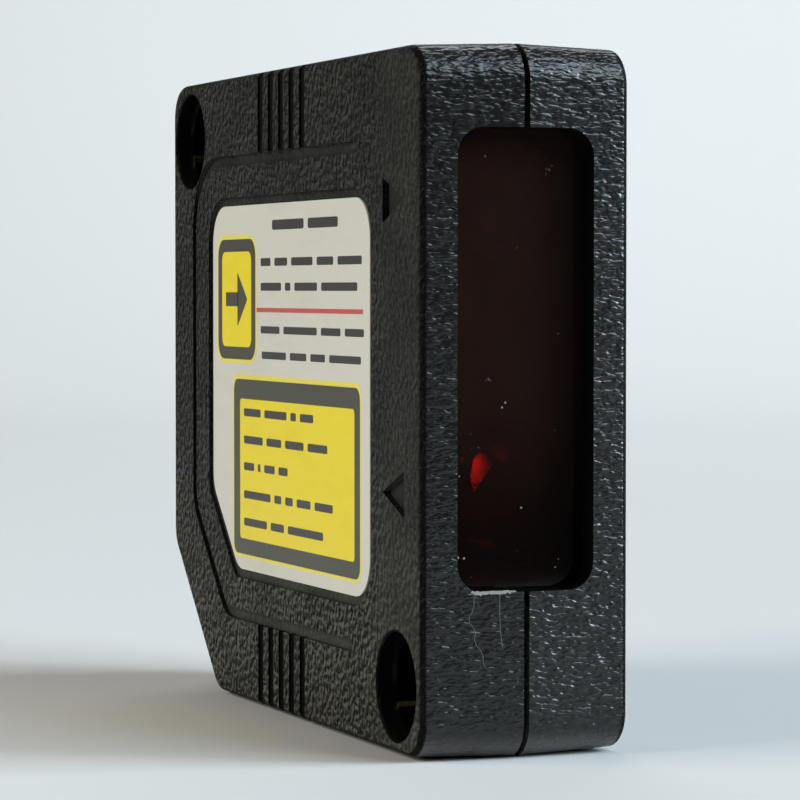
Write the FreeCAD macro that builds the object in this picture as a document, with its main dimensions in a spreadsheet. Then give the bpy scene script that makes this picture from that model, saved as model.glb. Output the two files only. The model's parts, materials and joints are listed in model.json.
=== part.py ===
import FreeCAD, Part
import math
import os
import Sketcher
from types import SimpleNamespace

# A miniature laser sensor in a two-shell moulded housing. +Z is up, the window looks along -Y,
# the labelled side faces -X, and the origin is under the middle of the part.
# Every Y below is measured back from the housing's front ridge unless it says otherwise.

# Driving sizes in millimetres
SIZES = {
    # Housing
    "thickness": 12.7,
    "depth": 46.2,
    "height": 40.3,
    "wall_lean": 0.22,
    "cable_corner": 9.7,
    "corner_radius": 2.2,
    "cable_corner_radius": 2.0,
    "edge_radius": 0.45,
    "side_wall": 1.4,
    "rim_wall": 1.6,
    "fit_gap": 0.05,
    # Seam between the shells
    "seam_gap": 0.34,
    "seam_gap_depth": 0.5,
    "tongue_inset": 0.65,
    "tongue_width": 0.5,
    "tongue_height": 0.5,
    # Fixing holes and their sleeves
    "hole_inset": 4.0,
    "hole_diameter": 6.2,
    "hole_rim": 0.12,
    "boss_wall": 0.9,
    "sleeve_wall": 0.325,
    "sleeve_recess": 1.1,
    # Moulded relief on both sides
    "groove_width": 0.72,
    "groove_depth": 0.3,
    "groove_inset": 5.6,
    "groove_back_inset": 4.9,
    "groove_front": 11.2,
    "groove_radius": 4.5,
    "groove_corner": 6.6,
    "groove_corner_radius": 2.5,
    "grip_radius": 0.5,
    "grip_depth": 0.35,
    "grip_pitch": 1.96,
    "grip_middle": 23.8,
    "arrow_front": 2.7,
    "arrow_length": 3.4,
    "arrow_width": 2.6,
    "arrow_depth": 0.4,
    # Label and its recess
    "label_inset": 8.5,
    "label_corner": 5.1,
    "label_radius": 2.4,
    "label_corner_radius": 0.8,
    "label_margin": 0.55,
    "label_recess": 0.25,
    "label_film": 0.12,
    # Front window
    "window_rise": 1.5,
    "window_top_inset": 4.8,
    "window_corner_radius": 1.6,
    "window_lip": 1.6,
    "window_overlap": 0.8,
    "window_thickness": 1.2,
    "plate_corner_radius": 1.0,
    "gasket_thickness": 0.5,
    "ledge_thickness": 0.8,
    "ledge_reach": 3.4,
    # Optics
    "frame_length": 11.3,
    "frame_clearance": 0.2,
    "frame_wall": 0.9,
    "emitter_drop": 4.0,
    "receiver_rise": 5.4,
    "barrel_diameter": 6.9,
    "barrel_setback": 0.8,
    "barrel_flange": 0.5,
    "barrel_flange_thickness": 1.2,
    "collimator_diameter": 4.9,
    "collimator_edge": 0.8,
    "collimator_bulge": 0.7,
    "collimator_rim": 0.5,
    "aperture_diameter": 3.6,
    "aperture_length": 2.5,
    "diode_can_diameter": 4.4,
    "diode_can_length": 2.4,
    "diode_base_diameter": 5.6,
    "diode_base_thickness": 1.2,
    "diode_lead_diameter": 0.45,
    "diode_lead_circle": 2.2,
    "diode_lead_length": 4.0,
    "receiver_lens_wall": 0.5,
    "receiver_lens_rim": 0.5,
    "receiver_lens_edge": 1.2,
    "receiver_lens_bulge": 1.5,
    "receiver_lens_seat": 3.2,
    "clip_thickness": 0.6,
    "tunnel_exit_diameter": 4.0,
    # Boards and what they carry
    "board_thickness": 1.0,
    "board_standoff": 0.6,
    "board_front_gap": 0.5,
    "board_back_gap": 3.6,
    "board_edge_gap": 1.4,
    "small_board_thickness": 0.8,
    "small_board_half_width": 3.6,
    "small_board_half_height": 4.0,
    "laser_board_gap": 2.3,
    "detector_board_gap": 7.0,
    "photodiode_width": 3.6,
    "photodiode_height": 4.4,
    "photodiode_thickness": 1.2,
    "insert_clearance": 1.0,
    "chip_thickness": 1.1,
    "processor_size": 6.0,
    "amplifier_size": 4.0,
    "amplifier_rise": 6.0,
    "regulator_width": 3.0,
    "regulator_height": 4.0,
    "regulator_shift": 4.0,
    "capacitor_diameter": 3.8,
    "capacitor_length": 4.6,
    "capacitor_lead": 4.0,
    "capacitor_pitch": 5.0,
    "led_size": 1.4,
    "led_thickness": 0.9,
    "led_pitch": 2.4,
    "screw_inset": 2.4,
    "screw_diameter": 1.6,
    "screw_head_diameter": 3.4,
    "screw_head_height": 1.2,
    "screw_bite": 0.9,
    "post_wall": 0.8,
    # Gain adjuster in the back wall
    "gain_drop": 4.3,
    "gain_head_diameter": 3.9,
    "gain_head_recess": 0.4,
    "gain_collar": 1.2,
    "gain_collar_wall": 1.2,
    "gain_stub_diameter": 2.4,
    "gain_stub_length": 1.2,
    "gain_slot_width": 0.6,
    "gain_slot_depth": 0.8,
    "gain_seal_section": 0.54,
    "gain_seal_inset": 0.4,
    "trimmer_size": 5.8,
    "trimmer_depth": 3.8,
    "trimmer_gap": 0.4,
    # Indicator lens in the back wall
    "indicator_drop": 7.6,
    "indicator_width": 2.4,
    "indicator_height": 4.6,
    "indicator_flange": 0.7,
    "indicator_depth": 2.0,
    "indicator_recess": 0.1,
    # Cable inlet on the slanted corner
    "inlet_shift": 1.2,
    "nose_length": 4.2,
    "nose_wall": 0.85,
    "nose_chamfer": 0.5,
    "cup_diameter": 6.3,
    "cup_depth": 4.0,
    "carrier_wall": 0.36,
    "inlet_flange_thickness": 1.6,
    "insert_depth": 8.0,
    "saddle_thickness": 1.2,
    "saddle_half_width": 6.0,
    "inlet_seal_section": 0.84,
    "pin_diameter": 0.8,
    "pin_spread": 1.3,
    "pin_recess": 1.4,
    "tail_straight": 1.0,
    "tail_bend": 0.8,
    "tail_step": 1.6,
}

# What the shape fixes and no size changes: the slanted corner is at 45 degrees
ROOT_TWO = math.sqrt(2)
HALF_ROOT = ROOT_TWO / 2
SLANT_DEGREES = -45
ALONG_INLET = ((1, 0, 0), SLANT_DEGREES - 90)
# Turns a quarter ring from straight out along the inlet's axis to across the part
ELBOW_TURN = ((0, math.sin(math.pi / 8), math.cos(math.pi / 8)), 180)
GRIP_COUNT = 5
LEAD_ANGLES = (90, 210, 330)
# How far a cutting or joining solid runs past the face that it meets
OVERRUN = 0.3
# Points nearer than this are the same point
CLOSE = 1e-4

doc = FreeCAD.newDocument("laser_sensor")
sheet = doc.addObject("Spreadsheet::Sheet", "Sizes")
for row, (name, number) in enumerate(SIZES.items(), start=1):
    sheet.set(f"A{row}", name)
    sheet.set(f"B{row}", str(number))
    sheet.setAlias(f"B{row}", name)
doc.recompute()


class Size:
    """A length with its value now and the sheet formula that it is bound by."""

    def __init__(self, value, formula=None):
        self.value = value
        self.formula = formula or repr(float(value))

    def __add__(self, other):
        other = as_size(other)
        return Size(self.value + other.value, f"({self.formula} + {other.formula})")

    def __sub__(self, other):
        other = as_size(other)
        return Size(self.value - other.value, f"({self.formula} - {other.formula})")

    def __mul__(self, other):
        other = as_size(other)
        return Size(self.value * other.value, f"({self.formula} * {other.formula})")

    def __truediv__(self, other):
        other = as_size(other)
        return Size(self.value / other.value, f"({self.formula} / {other.formula})")

    def __neg__(self):
        return Size(-self.value, f"(0 - {self.formula})")

    __radd__ = __add__
    __rmul__ = __mul__

    def __rsub__(self, other):
        return as_size(other) - self


def as_size(number):
    return number if isinstance(number, Size) else Size(number)


def bind(obj, prop, size):
    """Ties one property of an object to its formula."""
    obj.setExpression(prop, as_size(size).formula)


s = SimpleNamespace(**{name: Size(number, f"Sizes.{name}") for name, number in SIZES.items()})

# Places that several pieces share
half = s.thickness / 2
inner = half - s.side_wall
hole_low = (s.hole_inset, s.hole_inset)
hole_high = (s.depth - s.hole_inset, s.height - s.hole_inset)
boss_radius = s.hole_diameter / 2 + s.boss_wall
window_bottom = s.hole_inset + boss_radius + s.window_rise
window_top = s.height - s.window_top_inset
window_half = inner - s.window_overlap
plate_bottom = window_bottom - s.window_overlap
plate_top = window_top + s.window_overlap
plate_back = s.window_lip + s.window_thickness
frame_front = plate_back + s.gasket_thickness
frame_back = frame_front + s.frame_length
frame_half = inner - s.frame_clearance
emitter_height = window_top - s.emitter_drop
receiver_height = window_bottom + s.receiver_rise
back_wall = s.depth - s.rim_wall
inlet_y = s.depth - s.cable_corner / 2 + s.inlet_shift * HALF_ROOT
inlet_z = s.cable_corner / 2 + s.inlet_shift * HALF_ROOT
nose_radius = s.cup_diameter / 2 + s.nose_wall
cup_floor = s.nose_length - s.cup_depth
flange_back = -(s.rim_wall + s.inlet_flange_thickness)
carrier_radius = s.pin_spread * ROOT_TWO + s.pin_diameter / 2 + s.carrier_wall
front_y = -(inlet_y + (s.nose_length + nose_radius - s.nose_chamfer) * HALF_ROOT) / 2
gain_height = hole_high[1] - boss_radius - s.gain_drop
indicator_height = gain_height - s.indicator_drop
board_face = inner - s.board_standoff - s.board_thickness
board_front = frame_back + s.barrel_flange_thickness + s.board_front_gap
board_back = back_wall - s.board_back_gap
board_bottom = s.rim_wall + s.board_edge_gap
board_top = s.height - s.rim_wall - s.board_edge_gap
notch_y = hole_high[0] - boss_radius - s.boss_wall
notch_z = hole_high[1] - boss_radius - s.boss_wall
screw_places = (
    (board_front + s.screw_inset, board_bottom + s.screw_inset),
    (notch_y - s.screw_inset, board_top - s.screw_inset),
)

parts = []


def finished(obj):
    """Marks an object as one of the part's pieces."""
    parts.append(obj)
    return obj


def place(obj, x, y, z, turn=None):
    """Puts an object at a bound place, turned about an axis by fixed degrees."""
    if turn:
        axis, degrees = turn
        rotation = FreeCAD.Rotation(FreeCAD.Vector(*axis), degrees)
        obj.Placement = FreeCAD.Placement(FreeCAD.Vector(), rotation)
    bind(obj, "Placement.Base.x", x)
    bind(obj, "Placement.Base.y", front_y + y)
    bind(obj, "Placement.Base.z", z)
    return obj


def box(label, x, y, z):
    """A block between two bounds along each axis."""
    obj = doc.addObject("Part::Box", label)
    bind(obj, "Length", as_size(x[1]) - x[0])
    bind(obj, "Width", as_size(y[1]) - y[0])
    bind(obj, "Height", as_size(z[1]) - z[0])
    return place(obj, x[0], y[0], z[0])


def slanted_box(label, x, along, across):
    """A block set square to the cable inlet: along its axis outwards, and across it up the slant."""
    obj = doc.addObject("Part::Box", label)
    bind(obj, "Length", as_size(x[1]) - x[0])
    bind(obj, "Width", as_size(along[1]) - along[0])
    bind(obj, "Height", as_size(across[1]) - across[0])
    return place(obj, x[0], *slant_place(along[0], across[0]), ((1, 0, 0), SLANT_DEGREES))


def slanted_rod(label, radius, x, along, across):
    """A cylinder along the cable inlet's axis between two bounds."""
    obj = doc.addObject("Part::Cylinder", label)
    bind(obj, "Radius", radius)
    bind(obj, "Height", as_size(along[1]) - along[0])
    return place(obj, x, *slant_place(along[0], across), ALONG_INLET)


def slant_place(along, across):
    """Y and Z of a place given along the cable inlet's axis and up the slant."""
    return inlet_y + (along + across) * HALF_ROOT, inlet_z + (across - along) * HALF_ROOT


def rod_x(label, radius, x, y, z):
    """A cylinder along X between two bounds."""
    obj = doc.addObject("Part::Cylinder", label)
    bind(obj, "Radius", radius)
    bind(obj, "Height", as_size(x[1]) - x[0])
    return place(obj, x[0], y, z, ((0, 1, 0), 90))


def rod_y(label, radius, x, y, z):
    """A cylinder along Y between two bounds."""
    obj = doc.addObject("Part::Cylinder", label)
    bind(obj, "Radius", radius)
    bind(obj, "Height", as_size(y[1]) - y[0])
    return place(obj, x, y[0], z, ((1, 0, 0), -90))


def rod_z(label, radius, x, y, z):
    """A cylinder along Z between two bounds."""
    obj = doc.addObject("Part::Cylinder", label)
    bind(obj, "Radius", radius)
    bind(obj, "Height", as_size(z[1]) - z[0])
    return place(obj, x, y, z[0])


def fuse(label, shapes):
    obj = doc.addObject("Part::MultiFuse", label)
    obj.Shapes = shapes
    return obj


def cut(label, base, tools):
    obj = doc.addObject("Part::Cut", label)
    obj.Base = base
    obj.Tool = tools[0] if len(tools) == 1 else fuse(f"{label}_tools", tools)
    return obj


def origin_plane(body, role):
    return next(item for item in body.Origin.OriginFeatures if item.Role == role)


def outline(body, plane, corners, arcs=None):
    """A closed sketch through bound corners; arcs gives a radius to the side that starts at a corner."""
    arcs = arcs or {}
    sketch = body.newObject("Sketcher::SketchObject", f"{body.Name}_outline")
    sketch.AttachmentSupport = (origin_plane(body, plane), [""])
    sketch.MapMode = "FlatFace"
    points = [FreeCAD.Vector(as_size(u).value, as_size(v).value, 0) for u, v in corners]
    count = len(points)
    for index, point in enumerate(points):
        following = points[(index + 1) % count]
        if index in arcs:
            sketch.addGeometry(Part.Arc(point, arc_middle(point, following, arcs[index].value), following))
        else:
            sketch.addGeometry(Part.LineSegment(point, following))
    start = {index: 1 for index in range(count)}
    end = {index: 2 for index in range(count)}
    for index in arcs:
        if sketch.Geometry[index].StartPoint.distanceToPoint(points[index]) > CLOSE:
            start[index], end[index] = 2, 1
    for index, (u, v) in enumerate(corners):
        after = (index + 1) % count
        sketch.addConstraint(Sketcher.Constraint("Coincident", index, end[index], after, start[after]))
        for kind, size in (("DistanceX", as_size(u)), ("DistanceY", as_size(v))):
            held = (-1, 1, index, start[index])
            if size.value < 0:
                held = (index, start[index], -1, 1)
                size = -size
            number = sketch.addConstraint(Sketcher.Constraint(kind, *held, size.value))
            sketch.setExpression(f"Constraints[{number}]", size.formula)
        if index in arcs:
            number = sketch.addConstraint(Sketcher.Constraint("Radius", index, arcs[index].value))
            sketch.setExpression(f"Constraints[{number}]", arcs[index].formula)
    return sketch


def arc_middle(start, end, radius):
    """The middle of the arc that bulges to the right of the way from start to end."""
    chord = end - start
    side = FreeCAD.Vector(chord.y, -chord.x, 0).normalize()
    bulge = radius - math.sqrt(radius ** 2 - (chord.Length / 2) ** 2)
    return (start + end) / 2 + side * bulge


def named_edges(shape, chosen):
    return [f"Edge{number}" for number, edge in enumerate(shape.Edges, start=1) if chosen(edge)]


def round_edges(body, base, edges, radius):
    fillet = body.newObject("PartDesign::Fillet", f"{body.Name}_round")
    fillet.Base = (base, edges)
    bind(fillet, "Radius", radius)
    doc.recompute()
    return fillet


def prism(label, corners, across, radii=None):
    """A plate with an outline in Y and Z between two bounds in X; radii rounds numbered corners."""
    body = doc.addObject("PartDesign::Body", label)
    sketch = outline(body, "YZ_Plane", corners)
    bind(sketch, "AttachmentOffset.Base.x", front_y)
    bind(sketch, "AttachmentOffset.Base.z", across[0])
    pad = body.newObject("PartDesign::Pad", f"{label}_pad")
    pad.Profile = sketch
    bind(pad, "Length", as_size(across[1]) - across[0])
    doc.recompute()
    feature = pad
    for corner, radius in (radii or {}).items():
        y = front_y.value + as_size(corners[corner][0]).value
        z = as_size(corners[corner][1]).value

        def at_corner(edge):
            return all(math.hypot(v.Point.y - y, v.Point.z - z) < CLOSE for v in edge.Vertexes)

        feature = round_edges(body, feature, named_edges(feature.Shape, at_corner), radius)
    return body


def plate(label, x, y, z, radius):
    """An upright plate with four rounded corners, seen from the front."""
    body = doc.addObject("PartDesign::Body", label)
    corners = ((x[0], z[0]), (x[1], z[0]), (x[1], z[1]), (x[0], z[1]))
    sketch = outline(body, "XZ_Plane", corners)
    bind(sketch, "AttachmentOffset.Base.z", -(front_y + y[1]))
    pad = body.newObject("PartDesign::Pad", f"{label}_pad")
    pad.Profile = sketch
    bind(pad, "Length", as_size(y[1]) - y[0])
    doc.recompute()

    def along_y(edge):
        first, last = edge.Vertexes[0].Point, edge.Vertexes[-1].Point
        return math.hypot(first.x - last.x, first.z - last.z) < CLOSE

    round_edges(body, pad, named_edges(pad.Shape, along_y), radius)
    return body


def turned(label, corners, y, z, arcs=None, slanted=False):
    """A turned piece: its outline in radius and length, spun about an axis that points back."""
    body = doc.addObject("PartDesign::Body", label)
    sketch = outline(body, "XY_Plane", corners, arcs)
    spin = body.newObject("PartDesign::Revolution", f"{label}_spin")
    spin.Profile = sketch
    spin.ReferenceAxis = (sketch, ["V_Axis"])
    spin.Angle = 360
    place(body, 0, y, z, ((1, 0, 0), SLANT_DEGREES) if slanted else None)
    return body


def housing_outline(inset, front=None):
    """The housing's corners moved in by an inset, from the front low one round by the slanted corner."""
    inset = as_size(inset)
    front = inset if front is None else front
    shift = inset * (ROOT_TWO - 1)
    return (
        (front, inset),
        (s.depth - s.cable_corner - shift, inset),
        (s.depth - inset, s.cable_corner + shift),
        (s.depth - inset, s.height - inset),
        (front, s.height - inset),
    )


def housing_radii(inset):
    """The radii that keep an inset outline's corners level with the housing's."""
    round_corner = s.corner_radius - inset
    slant_corner = s.cable_corner_radius - inset
    return {0: round_corner, 1: slant_corner, 2: slant_corner, 3: round_corner, 4: round_corner}


def ring(label, outer_inset, inner_inset, across):
    """A band that follows the housing's outline between two insets."""
    outer = prism(f"{label}_outer", housing_outline(outer_inset), across, housing_radii(outer_inset))
    wide = (as_size(across[0]) - OVERRUN, as_size(across[1]) + OVERRUN)
    core = prism(f"{label}_core", housing_outline(inner_inset), wide, housing_radii(inner_inset))
    return cut(label, outer, [core])


def span(side, near, far):
    """Two distances from the seam as bounds in X on one side."""
    near, far = as_size(near), as_size(far)
    return (near, far) if side > 0 else (-far, -near)


# Housing shells
def shell_form(name, side):
    """The outer form of one shell: walls lean in from the seam to the face, and one corner is cut off."""
    body = doc.addObject("PartDesign::Body", f"{name}_form")
    block = body.newObject("PartDesign::AdditiveWedge", f"{name}_block")
    rotation = FreeCAD.Rotation(FreeCAD.Vector(0, 0, 1), -90 * side)
    block.Placement = FreeCAD.Placement(FreeCAD.Vector(), rotation)
    bind(block, "Placement.Base.y", front_y)
    seam_ends = (as_size(0), s.depth) if side < 0 else (-s.depth, as_size(0))
    bounds = {
        "Xmin": seam_ends[0], "Xmax": seam_ends[1], "Ymin": 0, "Ymax": half, "Zmin": 0, "Zmax": s.height,
        "X2min": seam_ends[0] + s.wall_lean, "X2max": seam_ends[1] - s.wall_lean,
        "Z2min": s.wall_lean, "Z2max": s.height - s.wall_lean,
    }
    for prop, size in bounds.items():
        bind(block, prop, size)
    doc.recompute()
    over = as_size(OVERRUN)
    triangle = (
        (s.depth - s.cable_corner - over, -over),
        (s.depth + over, -over),
        (s.depth + over, s.cable_corner + over),
    )
    sketch = outline(body, "YZ_Plane", triangle)
    bind(sketch, "AttachmentOffset.Base.x", front_y)
    slant = body.newObject("PartDesign::Pocket", f"{name}_slant")
    slant.Profile = sketch
    slant.Type = "ThroughAll"
    slant.Midplane = True
    doc.recompute()
    slant_ends = [FreeCAD.Vector(0, front_y.value + as_size(y).value, as_size(z).value)
                  for y, z in housing_outline(0)[1:3]]

    def at_slant(edge):
        return any(v.Point.distanceToPoint(end) < CLOSE for v in edge.Vertexes for end in slant_ends)

    def crosses(edge):
        ends = sorted(abs(v.Point.x) for v in edge.Vertexes)
        return ends[0] < CLOSE and ends[-1] > half.value - CLOSE

    def on_face(edge):
        return all(abs(v.Point.x) > half.value - CLOSE for v in edge.Vertexes)

    plain = named_edges(slant.Shape, lambda edge: crosses(edge) and not at_slant(edge))
    rounded = round_edges(body, slant, plain, s.corner_radius)
    slanted = named_edges(rounded.Shape, lambda edge: crosses(edge) and at_slant(edge))
    rounded = round_edges(body, rounded, slanted, s.cable_corner_radius)
    round_edges(body, rounded, named_edges(rounded.Shape, on_face), s.edge_radius)
    return body


def cavity(name, side):
    """The hollow of one shell, with the two fixing bosses left standing."""
    across = span(side, -OVERRUN, inner)
    hollow = prism(f"{name}_hollow", housing_outline(s.rim_wall, front=s.window_lip), across)
    bosses = [rod_x(f"{name}_boss_{number}", boss_radius, span(side, -OVERRUN, inner + OVERRUN), y, z)
              for number, (y, z) in enumerate((hole_low, hole_high), start=1)]
    return cut(f"{name}_cavity", hollow, bosses)


def fixing_holes(name, side):
    """Both fixing holes, each with its rim eased at the outer face."""
    tools = []
    radius = s.hole_diameter / 2
    for number, (y, z) in enumerate((hole_low, hole_high), start=1):
        across = span(side, -(s.tongue_height + OVERRUN), half + OVERRUN)
        tools.append(rod_x(f"{name}_hole_{number}", radius, across, y, z))
        rim = doc.addObject("Part::Cone", f"{name}_rim_{number}")
        bind(rim, "Radius1", radius)
        bind(rim, "Radius2", radius + s.hole_rim * 2)
        bind(rim, "Height", s.hole_rim * 2)
        turn = ((0, 1, 0), 90 if side > 0 else -90)
        tools.append(place(rim, (half - s.hole_rim) * side, y, z, turn))
    return tools


def trim_groove(name, side):
    """The C-shaped groove round the label, open to the front."""
    reach = s.groove_width / 2
    bottom, top = s.groove_inset, s.height - s.groove_inset
    back = s.depth - s.groove_back_inset

    def loop(label, grow, front, across):
        shift = grow * (ROOT_TWO - 1)
        corners = (
            (front, bottom - grow),
            (back - s.groove_corner + shift, bottom - grow),
            (back + grow, bottom + s.groove_corner - shift),
            (back + grow, top + grow),
            (front, top + grow),
        )
        slant_radius = s.groove_corner_radius + grow
        radii = {1: slant_radius, 2: slant_radius, 3: s.groove_radius + grow}
        return prism(label, corners, across, radii)

    sunk = span(side, half - s.groove_depth, half + OVERRUN)
    through = span(side, inner, half + s.side_wall)
    outer = loop(f"{name}_groove_outer", reach, s.groove_front, sunk)
    core = loop(f"{name}_groove_core", -reach, s.groove_front - OVERRUN, through)
    return cut(f"{name}_groove", outer, [core])


def grips(name, side):
    """The finger grooves at the top and bottom edges."""
    tools = []
    x = (half - s.grip_depth + s.grip_radius) * side
    end = s.groove_inset - s.groove_width / 2 + s.fit_gap
    for number in range(GRIP_COUNT):
        y = s.grip_middle + s.grip_pitch * (number - (GRIP_COUNT - 1) / 2)
        low = (-as_size(OVERRUN), end)
        high = (s.height - end, s.height + OVERRUN)
        tools.append(rod_z(f"{name}_low_grip_{number}", s.grip_radius, x, y, low))
        tools.append(rod_z(f"{name}_high_grip_{number}", s.grip_radius, x, y, high))
    return tools


def beam_arrows(name, side):
    """Two sunk triangles beside the window: out at the emitter, in at the receiver."""
    across = span(side, half - s.arrow_depth, half + OVERRUN)
    front, back = s.arrow_front, s.arrow_front + s.arrow_length
    rise = s.arrow_width / 2
    out_corners = ((front, emitter_height), (back, emitter_height - rise), (back, emitter_height + rise))
    in_corners = ((back, receiver_height), (front, receiver_height + rise), (front, receiver_height - rise))
    return [prism(f"{name}_arrow_out", out_corners, across), prism(f"{name}_arrow_in", in_corners, across)]


def label_corners(grow):
    """The label's outline, grown by a margin."""
    shift = as_size(grow) * (ROOT_TWO - 1)
    front, bottom = s.label_inset - grow, s.label_inset - grow
    back, top = s.depth - front, s.height - bottom
    slant = s.label_corner + (as_size(grow) - shift)
    return (
        (front, bottom),
        (back - slant, bottom),
        (back, bottom + slant),
        (back, top),
        (front, top),
    )


def label_radii(grow):
    plain, slant = s.label_radius + grow, s.label_corner_radius + grow
    return {0: plain, 1: slant, 2: slant, 3: plain, 4: plain}


def ledges(name, side):
    """Ribs under and over the window plate and the optics frame."""
    across = span(side, inner - s.ledge_reach, inner + OVERRUN)
    along = (s.window_lip - OVERRUN, frame_back)
    low = (plate_bottom - s.fit_gap - s.ledge_thickness, plate_bottom - s.fit_gap)
    high = (plate_top + s.fit_gap, plate_top + s.fit_gap + s.ledge_thickness)
    return [box(f"{name}_low_ledge", across, along, low), box(f"{name}_high_ledge", across, along, high)]


def saddle(name, side):
    """The rib that holds the cable inlet's insert from behind."""
    outer_end = -(s.rim_wall + s.inlet_flange_thickness + s.fit_gap)
    along = (outer_end - s.saddle_thickness, outer_end)
    across = (-s.saddle_half_width, s.saddle_half_width)
    return slanted_box(f"{name}_saddle", span(side, 0, inner + OVERRUN), along, across)


def gain_collar(name, side):
    """The collar round the gain screw, a half of it on each shell."""
    radius = s.gain_head_diameter / 2 + s.fit_gap + s.gain_collar_wall
    along = (back_wall - s.gain_collar, back_wall + OVERRUN)
    whole = rod_y(f"{name}_collar_round", radius, 0, along, gain_height)
    side_block = box(f"{name}_collar_side", span(side, 0, inner), along,
                     (gain_height - radius, gain_height + radius))
    collar = doc.addObject("Part::Common", f"{name}_collar")
    collar.Base = whole
    collar.Tool = side_block
    return collar


def wall_openings(name):
    """The openings that cross the seam: window, gain screw, indicator and cable inlet."""
    window = plate(f"{name}_window", (-window_half, window_half),
                   (-as_size(OVERRUN), s.window_lip + OVERRUN), (window_bottom, window_top),
                   s.window_corner_radius)
    gain = rod_y(f"{name}_gain_hole", s.gain_head_diameter / 2 + s.fit_gap, 0,
                 (back_wall - s.gain_collar - OVERRUN, s.depth + OVERRUN), gain_height)
    indicator = indicator_bar(f"{name}_indicator_hole", s.fit_gap, (back_wall - OVERRUN, s.depth + OVERRUN))
    depth = s.rim_wall + s.inlet_flange_thickness + s.saddle_thickness + s.fit_gap + OVERRUN
    inlet = slanted_rod(f"{name}_inlet_hole", nose_radius + s.fit_gap, 0, (-depth, s.cable_corner),
                        as_size(0))
    return [window, gain, indicator, inlet]


def indicator_bar(label, grow, along):
    """An upright bar with round ends, the indicator's outline seen from behind."""
    radius = s.indicator_width / 2 + grow
    reach = s.indicator_height / 2 - s.indicator_width / 2
    low, high = indicator_height - reach, indicator_height + reach
    return fuse(label, [
        rod_y(f"{label}_low", radius, 0, along, low),
        rod_y(f"{label}_high", radius, 0, along, high),
        box(f"{label}_middle", (-radius, radius), along, (low, high)),
    ])


def seam_step(name, side):
    """The step at the rim that leaves the open line of the seam."""
    over = as_size(OVERRUN)
    slab = box(f"{name}_seam_slab", span(side, -over, s.seam_gap / 2), (-over, s.depth + over),
               (-over, s.height + over))
    keep = prism(f"{name}_seam_keep", housing_outline(s.seam_gap_depth), span(side, -over * 2, s.seam_gap),
                 housing_radii(s.seam_gap_depth))
    return cut(f"{name}_seam_step", slab, [keep])


def left_shell():
    name, side = "left_shell", -1
    hollow = cut(f"{name}_walls", shell_form(name, side), [cavity(name, side)])
    tongue = ring(f"{name}_tongue", s.tongue_inset, s.tongue_inset + s.tongue_width,
                  (-as_size(OVERRUN), s.tongue_height))
    ribs = [saddle(name, side), gain_collar(name, side), *ledges(name, side)]
    blank = fuse(f"{name}_blank", [hollow, tongue, *ribs])
    recess = prism(f"{name}_label_recess", label_corners(s.label_margin),
                   span(side, half - s.label_recess, half + OVERRUN), label_radii(s.label_margin))
    tools = [recess, trim_groove(name, side), seam_step(name, side)]
    tools += grips(name, side) + beam_arrows(name, side) + fixing_holes(name, side) + wall_openings(name)
    return finished(cut(name, blank, tools))


def right_shell():
    name, side = "right_shell", 1
    hollow = cut(f"{name}_walls", shell_form(name, side), [cavity(name, side)])
    post_radius = s.screw_diameter / 2 + s.post_wall
    posts = [rod_x(f"{name}_post_{number}", post_radius, (inner - s.board_standoff, inner + OVERRUN), y, z)
             for number, (y, z) in enumerate(screw_places, start=1)]
    ribs = [saddle(name, side), gain_collar(name, side), *ledges(name, side)]
    blank = fuse(f"{name}_blank", [hollow, *posts, *ribs])
    channel_end = s.tongue_inset + s.tongue_width + s.fit_gap
    channel = ring(f"{name}_channel", s.tongue_inset - s.fit_gap, channel_end,
                   (-as_size(OVERRUN), s.tongue_height + s.fit_gap))
    pilots = [rod_x(f"{name}_pilot_{number}", s.screw_diameter / 2 + s.fit_gap,
                    (inner - s.board_standoff - OVERRUN, inner + s.screw_bite + s.fit_gap), y, z)
              for number, (y, z) in enumerate(screw_places, start=1)]
    tools = [channel, trim_groove(name, side), seam_step(name, side), *pilots]
    tools += grips(name, side) + beam_arrows(name, side) + fixing_holes(name, side) + wall_openings(name)
    return finished(cut(name, blank, tools))


def sleeves():
    """A brass sleeve in each fixing hole, sunk below both faces."""
    reach = half - s.sleeve_recess
    radius = s.hole_diameter / 2 - s.fit_gap / 2
    for name, (y, z) in (("lower_sleeve", hole_low), ("upper_sleeve", hole_high)):
        outside = rod_x(f"{name}_outside", radius, (-reach, reach), y, z)
        bore = rod_x(f"{name}_bore", radius - s.sleeve_wall, (-half, half), y, z)
        finished(cut(name, outside, [bore]))


def side_label():
    across = span(-1, half - s.label_recess, half - s.label_recess + s.label_film)
    return finished(prism("side_label", label_corners(0), across, label_radii(0)))


def front_window():
    reach = inner - s.fit_gap
    return finished(plate("front_window", (-reach, reach), (s.window_lip, plate_back),
                          (plate_bottom, plate_top), s.plate_corner_radius))


def window_gasket():
    reach = inner - s.fit_gap * 2
    outer = plate("gasket_sheet", (-reach, reach), (plate_back, frame_front),
                  (plate_bottom + s.fit_gap, plate_top - s.fit_gap), s.plate_corner_radius)
    opening = plate("gasket_opening", (-window_half, window_half),
                    (plate_back - OVERRUN, frame_front + OVERRUN), (window_bottom, window_top),
                    s.window_corner_radius)
    return finished(cut("window_gasket", outer, [opening]))


# Optics
barrel_front = frame_front + s.barrel_setback
barrel_radius = s.barrel_diameter / 2
barrel_back = frame_back + s.barrel_flange_thickness
collimator_radius = s.collimator_diameter / 2
collimator_seat = barrel_front + s.clip_thickness + s.collimator_edge + s.collimator_bulge
receiver_lens_radius = frame_half - s.receiver_lens_wall
receiver_seat = frame_front + s.receiver_lens_seat


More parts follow.
